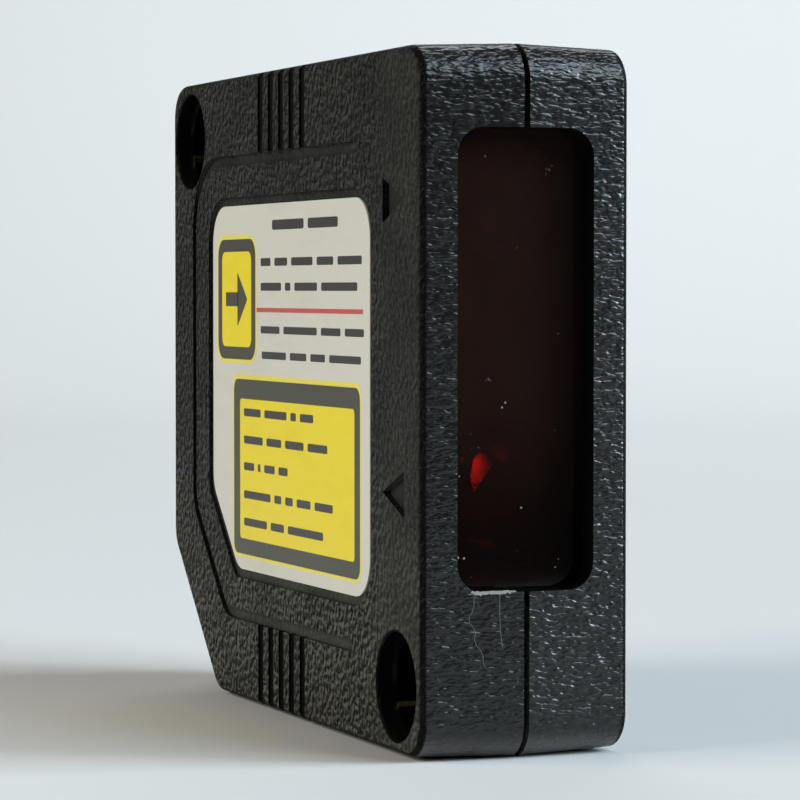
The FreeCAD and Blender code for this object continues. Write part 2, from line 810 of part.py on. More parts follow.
def optics_frame():
    """The moulded block that holds the laser barrel and the receiver lens in line."""
    block = box("frame_block", (-frame_half, frame_half), (frame_front, frame_back),
                (plate_bottom, plate_top))
    through = (frame_front - OVERRUN, frame_back + OVERRUN)
    emitter = rod_y("frame_emitter_bore", barrel_radius + s.fit_gap, 0, through, emitter_height)
    pocket_radius = receiver_lens_radius + s.fit_gap
    pocket = rod_y("frame_lens_pocket", pocket_radius, 0, (through[0], receiver_seat), receiver_height)
    tunnel = doc.addObject("Part::Cone", "frame_tunnel")
    bind(tunnel, "Radius1", receiver_lens_radius - s.receiver_lens_rim)
    bind(tunnel, "Radius2", s.tunnel_exit_diameter / 2)
    bind(tunnel, "Height", frame_back - receiver_seat + OVERRUN)
    place(tunnel, 0, receiver_seat, receiver_height, ((1, 0, 0), -90))
    low = receiver_height + receiver_lens_radius + s.frame_wall
    high = emitter_height - barrel_radius - s.frame_wall
    reach = frame_half - s.frame_wall
    hollow = box("frame_hollow", (-reach, reach), (frame_front + s.frame_wall, through[1]), (low, high))
    return finished(cut("optics_frame", block, [emitter, pocket, tunnel, hollow]))


def laser_barrel():
    """The turned barrel: lens seat in front, aperture, and the diode's seat behind."""
    flange = barrel_radius + s.barrel_flange
    lens_bore = collimator_radius + s.fit_gap
    can_bore = s.diode_can_diameter / 2 + s.fit_gap
    base_bore = s.diode_base_diameter / 2 + s.fit_gap
    aperture = s.aperture_diameter / 2
    aperture_back = collimator_seat + s.aperture_length
    base_seat = barrel_back - s.diode_base_thickness
    corners = (
        (lens_bore, 0), (barrel_radius, 0), (barrel_radius, frame_back - barrel_front),
        (flange, frame_back - barrel_front), (flange, barrel_back - barrel_front),
        (base_bore, barrel_back - barrel_front), (base_bore, base_seat - barrel_front),
        (can_bore, base_seat - barrel_front), (can_bore, aperture_back - barrel_front),
        (aperture, aperture_back - barrel_front), (aperture, collimator_seat - barrel_front),
        (lens_bore, collimator_seat - barrel_front),
    )
    return finished(turned("laser_barrel", corners, barrel_front, emitter_height))


def lens(label, radius, rim, edge, bulge, seat, z):
    """A lens with a flat back and a flat rim, bulging to the front; its length runs from the seat."""
    open_radius = radius - rim
    curve = (open_radius * open_radius + bulge * bulge) / (bulge * 2)
    corners = ((0, -(edge + bulge)), (open_radius, -edge), (radius, -edge), (radius, 0), (0, 0))
    return finished(turned(label, corners, seat, z, arcs={0: curve}))


def retaining_ring(label, radius, rim, front, z):
    corners = ((radius - rim, 0), (radius, 0), (radius, s.clip_thickness), (radius - rim, s.clip_thickness))
    return finished(turned(label, corners, front, z))


def laser_diode():
    """A diode can on its base, with three leads through the laser board."""
    base_radius, can_radius = s.diode_base_diameter / 2, s.diode_can_diameter / 2
    corners = (
        (0, -s.diode_can_length), (can_radius, -s.diode_can_length), (can_radius, 0), (base_radius, 0),
        (base_radius, s.diode_base_thickness), (0, s.diode_base_thickness),
    )
    can = turned("diode_can", corners, barrel_back - s.diode_base_thickness, emitter_height)
    along = (barrel_back - OVERRUN, barrel_back + s.diode_lead_length)
    leads = lead_rods("diode_lead", s.diode_lead_diameter / 2, along)
    return finished(fuse("laser_diode", [can, *leads]))


def lead_rods(label, radius, along):
    rods = []
    for number, degrees in enumerate(LEAD_ANGLES, start=1):
        x = s.diode_lead_circle / 2 * math.cos(math.radians(degrees))
        z = emitter_height + s.diode_lead_circle / 2 * math.sin(math.radians(degrees))
        rods.append(rod_y(f"{label}_{number}", radius, x, along, z))
    return rods


# Boards and what they carry
def small_board(label, front, z):
    return box(label, (-s.small_board_half_width, board_face), (front, front + s.small_board_thickness),
               (z - s.small_board_half_height, z + s.small_board_half_height))


def laser_board():
    front = barrel_back + s.laser_board_gap
    sheet_box = small_board("laser_board_sheet", front, emitter_height)
    holes = lead_rods("laser_board_hole", s.diode_lead_diameter / 2 + s.fit_gap,
                      (front - OVERRUN, front + s.small_board_thickness + OVERRUN))
    return finished(cut("laser_board", sheet_box, holes))


def detector():
    """The detector board across the light tunnel, with the photodiode on its front."""
    front = frame_back + s.detector_board_gap
    finished(small_board("detector_board", front, receiver_height))
    width, height = s.photodiode_width / 2, s.photodiode_height / 2
    finished(box("photodiode", (-width, width), (front - s.photodiode_thickness, front),
                 (receiver_height - height, receiver_height + height)))


def main_board():
    """The main board, cut away at the upper boss and behind the cable inlet."""
    slant = s.depth - s.cable_corner - (s.insert_depth + s.insert_clearance) * ROOT_TWO
    corners = (
        (board_front, board_bottom), (slant + board_bottom, board_bottom), (board_back, board_back - slant),
        (board_back, notch_z), (notch_y, notch_z), (notch_y, board_top), (board_front, board_top),
    )
    across = (board_face, board_face + s.board_thickness)
    sheet_body = prism("main_board_sheet", corners, across)
    holes = [rod_x(f"main_board_hole_{number}", s.screw_diameter / 2 + s.fit_gap,
                   (across[0] - OVERRUN, across[1] + OVERRUN), y, z)
             for number, (y, z) in enumerate(screw_places, start=1)]
    return finished(cut("main_board", sheet_body, holes))


def board_screws():
    """Two small screws that hold the main board to its posts."""
    screws = []
    for number, (y, z) in enumerate(screw_places, start=1):
        head_span = (board_face - s.screw_head_height, board_face)
        shank_span = (board_face - OVERRUN, inner + s.screw_bite)
        head = rod_x(f"screw_head_{number}", s.screw_head_diameter / 2, head_span, y, z)
        shank = rod_x(f"screw_shank_{number}", s.screw_diameter / 2, shank_span, y, z)
        screws.append(fuse(f"screw_{number}", [head, shank]))
    group = doc.addObject("Part::Compound", "board_screws")
    group.Links = screws
    return finished(group)


def chips():
    """The packages on the main board: where each starts along Y and Z, and how far it goes."""
    middle = (board_front + board_back) / 2
    packages = (
        ("processor_chip", middle - s.processor_size / 2, s.processor_size,
         indicator_height - s.processor_size / 2, s.processor_size),
        ("amplifier_chip", middle - s.amplifier_size, s.amplifier_size,
         board_bottom + s.amplifier_rise, s.amplifier_size),
        ("regulator_chip", middle + s.regulator_shift, s.regulator_width,
         gain_height - s.regulator_height / 2, s.regulator_height),
    )
    for label, front, width, low, height in packages:
        finished(box(label, (board_face - s.chip_thickness, board_face), (front, front + width),
                     (low, low + height)))
    first = middle - s.capacitor_lead
    across = (board_face - s.capacitor_length, board_face)
    z = board_top - s.screw_inset - s.capacitor_diameter
    for number, y in enumerate((first, first + s.capacitor_pitch), start=1):
        finished(rod_x(f"capacitor_{number}", s.capacitor_diameter / 2, across, y, z))


def indicator_leds():
    for label, step in (("power_led", -0.5), ("output_led", 0.5)):
        z = indicator_height + s.led_pitch * step
        across = (board_face - s.led_thickness, board_face)
        finished(box(label, across, (board_back - s.led_size, board_back),
                     (z - s.led_size / 2, z + s.led_size / 2)))


# Back wall
def gain_adjuster():
    """The trimmer on the main board, and its slotted screw in the back wall."""
    trimmer_back = back_wall - s.gain_collar - s.trimmer_gap
    reach = s.trimmer_size / 2
    case = box("trimmer_case", (-reach, board_face), (trimmer_back - s.trimmer_depth, trimmer_back),
               (gain_height - reach, gain_height + reach))
    stub_radius = s.gain_stub_diameter / 2
    socket = rod_y("trimmer_socket", stub_radius + s.fit_gap, 0,
                   (trimmer_back - s.gain_stub_length - OVERRUN, trimmer_back + OVERRUN), gain_height)
    finished(cut("gain_trimmer", case, [socket]))
    head_radius = s.gain_head_diameter / 2
    seal_radius = s.gain_seal_section / 2
    seal_circle = head_radius - seal_radius
    groove = seal_circle - seal_radius - s.fit_gap / 2
    seal_y = back_wall - s.gain_seal_inset
    start = trimmer_back - s.gain_stub_length
    head_front = trimmer_back + s.trimmer_gap / 2
    head_back = s.depth - s.gain_head_recess
    groove_half = seal_radius + s.fit_gap / 2
    corners = (
        (0, 0), (stub_radius, 0), (stub_radius, head_front - start), (head_radius, head_front - start),
        (head_radius, seal_y - groove_half - start), (groove, seal_y - groove_half - start),
        (groove, seal_y + groove_half - start), (head_radius, seal_y + groove_half - start),
        (head_radius, head_back - start), (0, head_back - start),
    )
    shaft = turned("gain_shaft", corners, start, gain_height)
    slot = box("gain_slot", (-s.gain_head_diameter, s.gain_head_diameter),
               (head_back - s.gain_slot_depth, head_back + OVERRUN),
               (gain_height - s.gain_slot_width / 2, gain_height + s.gain_slot_width / 2))
    finished(cut("gain_screw", shaft, [slot]))
    seal = doc.addObject("Part::Torus", "gain_seal")
    bind(seal, "Radius1", seal_circle)
    bind(seal, "Radius2", seal_radius)
    finished(place(seal, 0, seal_y, gain_height, ((1, 0, 0), -90)))


def indicator_lens():
    """The clear bar in the back wall that carries the indicators' light out."""
    bar = indicator_bar("indicator_bar", 0, (back_wall - OVERRUN, s.depth - s.indicator_recess))
    width = s.indicator_width / 2 + s.indicator_flange
    height = s.indicator_height / 2 + s.indicator_flange
    flange = box("indicator_flange_block", (-width, width), (back_wall - s.indicator_depth, back_wall),
                 (indicator_height - height, indicator_height + height))
    return finished(fuse("indicator_lens", [bar, flange]))


# Cable inlet on the slanted corner
def inlet_insert():
    """The turned shell of the inlet: a nose with a cup in it and a flange behind the wall, and its seal."""
    flange_radius = inner - s.fit_gap
    cup_radius = s.cup_diameter / 2
    groove = nose_radius - s.inlet_seal_section + s.fit_gap
    seal_middle = -s.rim_wall / 2
    groove_half = s.inlet_seal_section / 2 + s.fit_gap / 2
    corners = (
        (carrier_radius, flange_back), (flange_radius, flange_back), (flange_radius, -s.rim_wall),
        (nose_radius, -s.rim_wall),
        (nose_radius, seal_middle - groove_half), (groove, seal_middle - groove_half),
        (groove, seal_middle + groove_half), (nose_radius, seal_middle + groove_half),
        (nose_radius, s.nose_length - s.nose_chamfer), (nose_radius - s.nose_chamfer, s.nose_length),
        (cup_radius, s.nose_length), (cup_radius, cup_floor), (carrier_radius, cup_floor),
    )
    finished(turned("inlet_insert", corners, inlet_y, inlet_z, slanted=True))
    seal = doc.addObject("Part::Torus", "inlet_seal")
    bind(seal, "Radius1", nose_radius - s.inlet_seal_section / 2 + s.fit_gap)
    bind(seal, "Radius2", s.inlet_seal_section / 2 - s.fit_gap / 2)
    finished(place(seal, 0, *slant_place(seal_middle, as_size(0)), ALONG_INLET))


def pin_places():
    """Where the pins stand round the inlet's axis: across the part, and up the slant."""
    return [(s.pin_spread * x, s.pin_spread * up) for x in (-1, 1) for up in (-1, 1)]


def contact_carrier():
    """The moulded plug that fills the inlet's shell from behind and holds the pins."""
    shoulder = flange_back - s.fit_gap
    radius = carrier_radius - s.fit_gap
    corners = (
        (0, -s.insert_depth), (nose_radius, -s.insert_depth), (nose_radius, shoulder),
        (radius, shoulder), (radius, cup_floor), (0, cup_floor),
    )
    body = turned("carrier_body", corners, inlet_y, inlet_z, slanted=True)
    holes = []
    for number, (x, across) in enumerate(pin_places(), start=1):
        bore = (-(s.insert_depth + OVERRUN), s.nose_length)
        holes.append(slanted_rod(f"carrier_hole_{number}", s.pin_diameter / 2, x, bore, across))
    finished(cut("contact_carrier", body, holes))


def contact_pins():
    """Four round pins in the cup, each bent behind the carrier and run across to the main board."""
    pins = []
    radius = s.pin_diameter / 2
    for number, (x, across) in enumerate(pin_places(), start=1):
        straight = s.insert_depth + s.tail_straight
        if x.value < 0:
            straight = straight + s.tail_step
        tip = s.nose_length - s.pin_recess
        shank = slanted_rod(f"pin_shank_{number}", radius, x, (-straight, tip), across)
        elbow = doc.addObject("Part::Torus", f"pin_elbow_{number}")
        bind(elbow, "Radius1", s.tail_bend)
        bind(elbow, "Radius2", radius)
        elbow.Angle3 = 90
        place(elbow, x + s.tail_bend, *slant_place(-straight, across), ELBOW_TURN)
        tail_y, tail_z = slant_place(-(straight + s.tail_bend), across)
        tail = rod_x(f"pin_tail_{number}", radius, (x + s.tail_bend, board_face), tail_y, tail_z)
        pins.append(fuse(f"pin_{number}", [shank, elbow, tail]))
    group = doc.addObject("Part::Compound", "contact_pins")
    group.Links = pins
    return finished(group)


left_shell()
right_shell()
sleeves()
side_label()
front_window()
window_gasket()
optics_frame()
laser_barrel()
lens("collimator_lens", collimator_radius, s.collimator_rim, s.collimator_edge, s.collimator_bulge,
     collimator_seat, emitter_height)
retaining_ring("collimator_ring", collimator_radius, s.collimator_rim,
               collimator_seat - s.collimator_edge - s.clip_thickness, emitter_height)
lens("receiver_lens", receiver_lens_radius, s.receiver_lens_rim, s.receiver_lens_edge,
     s.receiver_lens_bulge, receiver_seat, receiver_height)
retaining_ring("receiver_ring", receiver_lens_radius, s.receiver_lens_rim,
               receiver_seat - s.receiver_lens_edge - s.clip_thickness, receiver_height)
laser_diode()
laser_board()
detector()
main_board()
board_screws()
chips()
indicator_leds()
gain_adjuster()
indicator_lens()
inlet_insert()
contact_carrier()
contact_pins()
doc.recompute()

for item in doc.Objects:
    if "Invalid" in item.State or "Error" in item.State:
        raise RuntimeError(f"{item.Label} did not build: {item.State}")
for piece in parts:
    if piece.Shape.isNull() or not piece.Shape.isValid() or not piece.Shape.Solids:
        raise RuntimeError(f"{piece.Label} has no sound solid")

os.makedirs("parts", exist_ok=True)
for piece in parts:
    piece.Shape.exportStep(f"parts/{piece.Label}.step")
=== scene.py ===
import json
import math
import random

import bmesh
import bpy
from bpy.props import FloatProperty, FloatVectorProperty, IntProperty, PointerProperty
from mathutils import Matrix, Vector


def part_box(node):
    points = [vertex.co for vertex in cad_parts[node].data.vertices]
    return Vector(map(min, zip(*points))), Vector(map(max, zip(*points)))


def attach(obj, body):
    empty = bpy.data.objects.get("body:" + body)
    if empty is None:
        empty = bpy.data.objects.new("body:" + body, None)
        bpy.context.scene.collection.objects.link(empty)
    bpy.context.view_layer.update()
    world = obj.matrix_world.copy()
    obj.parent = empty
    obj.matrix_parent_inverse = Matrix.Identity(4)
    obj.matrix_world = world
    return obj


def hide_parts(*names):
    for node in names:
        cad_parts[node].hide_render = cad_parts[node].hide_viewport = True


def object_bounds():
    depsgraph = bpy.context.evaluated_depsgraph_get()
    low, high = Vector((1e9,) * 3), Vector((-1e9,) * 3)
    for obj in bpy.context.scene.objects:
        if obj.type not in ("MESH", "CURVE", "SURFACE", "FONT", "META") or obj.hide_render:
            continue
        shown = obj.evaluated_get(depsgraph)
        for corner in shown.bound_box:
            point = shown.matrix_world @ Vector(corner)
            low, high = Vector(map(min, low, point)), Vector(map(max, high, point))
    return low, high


bl_info = {
    "name": "Laser Sensor",
    "version": (1, 0, 0),
    "blender": (4, 5, 0),
    "location": "3D View > Sidebar > Laser Sensor",
    "description": "Dresses a packed laser sensor: moulded grain, window filter, printed label and dust",
    "category": "Object",
}

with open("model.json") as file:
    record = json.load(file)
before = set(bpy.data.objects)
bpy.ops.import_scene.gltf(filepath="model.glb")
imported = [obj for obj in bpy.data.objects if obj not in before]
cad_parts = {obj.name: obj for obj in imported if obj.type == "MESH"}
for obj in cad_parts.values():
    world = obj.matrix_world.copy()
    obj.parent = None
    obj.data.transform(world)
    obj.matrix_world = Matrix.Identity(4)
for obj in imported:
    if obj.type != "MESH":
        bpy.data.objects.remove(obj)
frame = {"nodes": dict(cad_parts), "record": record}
CAD_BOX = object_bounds()
BODY = "housing"
MM = 0.001
MOUNTS = {mount["name"]: mount for mount in frame["record"]["mounts"]}
HOLES = ("lower_fixing_hole", "upper_fixing_hole")
HALF_ROOT = math.sqrt(0.5)


# Properties
def length(name, description, default):
    """A length in metres that a user may change."""
    return FloatProperty(name=name, description=description, default=default, unit="LENGTH", precision=6)


def share(name, description, default):
    """A value from 0 to 1 that a user may change."""
    return FloatProperty(name=name, description=description, default=default, subtype="FACTOR",
                         min=0, max=1)


def colour(name, description, default):
    """A linear colour that a user may change."""
    return FloatVectorProperty(name=name, description=description, default=default, subtype="COLOR",
                               min=0, max=1)


class HousingLook(bpy.types.PropertyGroup):
    """The moulded shells."""

    plastic: colour("Plastic", "Colour of the clean plastic", (0.004, 0.004, 0.0041))
    dust: colour("Dust", "Colour of the dusty heights of the grain on the front", (0.050, 0.047, 0.038))
    # Painted shade between the pebbles and painted light on their tops, over the plastic's matte tone
    painted_valley_shade: colour("Valley", "Colour of the sides between the pebbles", (0.0036, 0.0037, 0.0030))
    painted_lit_pebble_top: colour("Pebble top", "Colour of the dull tops of the pebbles", (0.112, 0.1132, 0.094))
    # Painted light: the walls of recesses that look down are painted this lighter colour
    painted_light_downward_walls: colour("Lifted", "Colour of the recesses' walls that look down", (0.06, 0.06, 0.055))
    scuff: colour("Scuff", "Colour of the scuffed foot of the front", (0.09, 0.08, 0.075))
    wear: share("Wear", "How far the heights of the grain on the front are dusty", 0.2)
    grain: length("Grain", "Width of one ridge of the grain on the front", 0.24 * MM)
    grain_stretch: share("Grain stretch", "How much the ridges are drawn out across the part", 0.4)
    grain_depth: length("Grain depth", "Height of the ridges on the front", 0.13 * MM)
    pebble: length("Pebble", "Width of one pebble of the grain on the sides", 0.42 * MM)
    pebble_depth: length("Pebble depth", "Height of the pebbles on the sides", 0.48 * MM)
    # Painted light: the sides are painted lighter towards the foot, for light bounced up from the floor
    painted_upper_shade: share("Settled", "How much less dust the upper half of the sides holds", 0.57)
    roughness: share("Roughness", "Roughness of the front", 0.28)
    grip_middle: length("Grip middle", "Middle of the finger grooves behind the front", 23.8 * MM)
    grip_reach: length("Grip reach", "Half the length that the finger grooves take up", 4.7 * MM)
    grip_run: length("Grip run", "How far the finger grooves run in from the top and the foot", 5.22 * MM)
    hole_radius: length("Hole radius", "Radius of the fixing holes", 3.1 * MM)
    lean: length("Lean", "How far the front leans back at its sides", 0.22 * MM)
    tilt: share("Tilt", "Slope of the front's shading towards its sides", 0.03)


class WindowLook(bpy.types.PropertyGroup):
    """The dark filter over the optics."""

    filter: colour("Filter", "Colour of the light that passes the filter", (0.23, 0.005, 0.005))
    # Painted reflection: a diffuse film of this colour stands in for the reflection on the filter, and the
    # Film share sets how much shows
    painted_reflection: colour("Haze", "Colour of the fine film of dirt on the filter", (0.44, 0.23, 0.17))
    film: share("Film", "How much of the filter the dirt covers", 0.03)
    overlap: length("Overlap", "How far the plate reaches behind the edge of its opening", 0.8 * MM)


class LabelLook(bpy.types.PropertyGroup):
    """The printed film on the left side."""

    film: colour("Film", "Colour of the bare film", (0.72, 0.70, 0.62))
    field: colour("Field", "Colour of the printed fields", (0.93, 0.75, 0.012))
    edge: colour("Field edge", "Colour of the line round the fields", (0.88, 0.78, 0.10))
    ink: colour("Ink", "Colour of the bars that stand for text", (0.045, 0.043, 0.04))
    border: colour("Border", "Colour of the dark frames", (0.067, 0.067, 0.044))
    rule: colour("Rule", "Colour of the dividing rule", (0.60, 0.10, 0.09))
    ink_step: length("Ink step", "Thickness of one layer of ink", 0.006 * MM)


class FittingsLook(bpy.types.PropertyGroup):
    """The sleeves in the fixing holes."""

    # Painted shade: the bore is painted nearly black; painted highlight: a bright line along it
    painted_shade_brass: colour("Dark brass", "Colour of the tarnished bore", (0.03, 0.022, 0.012))
    painted_highlight_brass: colour("Bright brass", "Colour of the rubbed line in the bore", (0.85, 0.62, 0.3))
    painted_highlight_angle: FloatProperty(name="Rub angle", description="Turn of the rubbed line up from straight back",
                             default=math.radians(-25), subtype="ANGLE")


class InletLook(bpy.types.PropertyGroup):
    """The turned and threaded shell of the cable inlet.

    Places along it count out from the slanted corner.
    """

    nose_length: length("Nose length", "How far the nose stands out", 4.2 * MM)
    nose_radius: length("Nose radius", "Radius of the nose and of the thread's crests", 4.0 * MM)
    root_radius: length("Root radius", "Radius of the thread's roots", 3.47 * MM)
    chamfer: length("Chamfer", "Chamfer round the nose's tip", 0.51 * MM)
    pitch: length("Pitch", "Pitch of the thread", 1.0 * MM)
    thread_start: length("Thread start", "Where the thread begins", 0.75 * MM)
    cup_radius: length("Cup radius", "Radius of the cup in the nose", 3.15 * MM)
    cup_depth: length("Cup depth", "Depth of the cup", 4.0 * MM)
    bore_radius: length("Bore radius", "Radius of the bore that holds the contact carrier", 2.6 * MM)
    groove_radius: length("Groove radius", "Radius of the seal's groove", 3.21 * MM)
    groove_width: length("Groove width", "Width of the seal's groove", 0.89 * MM)
    wall: length("Wall", "Thickness of the housing wall that the nose passes", 1.6 * MM)
    flange_radius: length("Flange radius", "Radius of the flange behind the wall", 4.9 * MM)
    flange: length("Flange", "Thickness of the flange", 1.6 * MM)


class DustLook(bpy.types.PropertyGroup):
    """Loose dirt on the outside."""

    seed: IntProperty(name="Seed", description="Seed of the scattered flakes", default=7, min=0)
    flakes: IntProperty(name="Flakes", description="Number of scattered flakes", default=16, min=0)
    flake: length("Flake", "Width of a common flake", 0.06 * MM)
    lint: length("Lint", "Thickness of a lint fibre", 0.05 * MM)


class StageLook(bpy.types.PropertyGroup):
    """The floor, the light all round and the camera."""

    floor: colour("Floor", "Colour of the floor and backdrop", (0.60, 0.59, 0.575))
    sky: colour("Sky", "Colour of the light all round", (0.05, 0.05, 0.051))
    focal: FloatProperty(name="Focal length", description="Camera focal length", default=151.9,
                         unit="CAMERA")
    yaw: FloatProperty(name="Yaw", description="Turn of the camera to the right of +Y",
                       default=math.radians(21.12), subtype="ANGLE")
    dip: FloatProperty(name="Dip", description="How far the camera looks down", default=math.radians(1.886),
                       subtype="ANGLE")
    eye: FloatVectorProperty(name="Eye", subtype="XYZ", unit="LENGTH",
                             description="Place of the camera from the foot of the part's front",
                             default=(-0.07468, -0.17358, 0.02647))


# Materials
class Value:
    """A shader socket. Arithmetic on it adds Math nodes to its material."""

    def __init__(self, finish, socket):
        self.finish = finish
        self.socket = socket

    def math(self, operation, *others):
        return self.finish.math(operation, self, *others)

    def __add__(self, other):
        return self.math("ADD", other)

    def __radd__(self, other):
        return self.math("ADD", other)

    def __sub__(self, other):
        return self.math("SUBTRACT", other)

    def __rsub__(self, other):
        return self.finish.math("SUBTRACT", other, self)

    def __mul__(self, other):
        return self.math("MULTIPLY", other)

    def __rmul__(self, other):
        return self.math("MULTIPLY", other)

    def __truediv__(self, other):
        return self.math("DIVIDE", other)

    def __pow__(self, other):
        return self.math("POWER", other)

    def __abs__(self):
        return self.math("ABSOLUTE")

    def root(self):
        return self.math("SQRT")

    def most(self, other):
        return self.math("MAXIMUM", other)

    def rise(self, low, high):
        """0 below low, 1 above high, and smooth between."""
        return self.finish.node("ShaderNodeMapRange", {"interpolation_type": "SMOOTHSTEP"},
                                {"Value": self, "From Min": low, "From Max": high})


class Finish:
    """One material and its nodes."""

    def __init__(self, name):
        self.material = bpy.data.materials.new(name)
        self.material.use_nodes = True
        self.tree = self.material.node_tree
        self.tree.nodes.clear()

    def node(self, kind, settings=None, inputs=None, output=0):
        """Adds any node: its settings first, then the values or links of its sockets."""
        made = self.tree.nodes.new(kind)
        for name, value in (settings or {}).items():
            setattr(made, name, value)
        for name, value in (inputs or {}).items():
            if isinstance(value, Value):
                self.tree.links.new(value.socket, made.inputs[name])
            else:
                made.inputs[name].default_value = value
        return Value(self, made.outputs[output])

    def math(self, operation, *values):
        return self.node("ShaderNodeMath", {"operation": operation}, dict(enumerate(values)))

    def place(self):
        return self.node("ShaderNodeTexCoord", output="Object")

    def split(self, vector):
        """The three numbers of a vector."""
        first = self.node("ShaderNodeSeparateXYZ", inputs={0: vector})
        return [Value(self, socket) for socket in first.socket.node.outputs]

    def stretch(self, scale, turn=(0, 0, 0)):
        """Object coordinates turned and scaled."""
        return self.node("ShaderNodeMapping", {"vector_type": "TEXTURE"}, {
            "Vector": self.place(), "Rotation": turn, "Scale": [1 / part for part in scale]})

    def moved(self, step):
        """Object coordinates moved by a step."""
        return self.node("ShaderNodeMapping", inputs={"Vector": self.place(), "Location": step})

    def noise(self, vector, scale, detail=2.0, rough=0.5, twist=0.0):
        return self.node("ShaderNodeTexNoise", inputs={
            "Vector": vector, "Scale": scale, "Detail": detail, "Roughness": rough, "Distortion": twist})

    def cells(self, scale, measure="EUCLIDEAN"):
        """How far a point is from the middle of the nearest cell."""
        return self.node("ShaderNodeTexVoronoi", {"feature": "F1", "distance": measure},
                         {"Vector": self.place(), "Scale": scale}, "Distance")

    def mix(self, factor, low, high):
        """A colour between two colours."""
        return self.node("ShaderNodeMix", {"data_type": "RGBA"},
                         {0: factor, 6: opaque(low), 7: opaque(high)}, output=2)

    def bump(self, height, distance, strength=1.0):
        return self.node("ShaderNodeBump", inputs={
            "Height": height, "Distance": distance, "Strength": strength})

    def principled(self, sockets):
        """A shader from the values or links of its sockets."""
        named = {name: opaque(value) if name.endswith("Color") else value
                 for name, value in sockets.items()}
        return self.node("ShaderNodeBsdfPrincipled", inputs=named)

    def surface(self, sockets):
        """One shader that shows by itself."""
        return self.show(self.principled(sockets))

    def show(self, shader):
        """Puts a shader on the surface and returns the material."""
        end = self.tree.nodes.new("ShaderNodeOutputMaterial")
        self.tree.links.new(shader.socket, end.inputs["Surface"])
        return self.material


def opaque(value):
    """A colour with its alpha, or a link as it is."""
    return value if isinstance(value, Value) else (*value[:3], 1.0)


def dress(node, material):
    """Gives a CAD node its material."""
    piece = frame["nodes"][node]
    piece.data.materials.clear()
    piece.data.materials.append(material)


def hole_distance(finish, name):
    """How far a point is from a fixing hole's axis."""
    y, z = finish.split(finish.place())[1:]
    middle = MOUNTS[name]["pos_m"]
    return ((y - middle[1]) ** 2 + (z - middle[2]) ** 2).root()


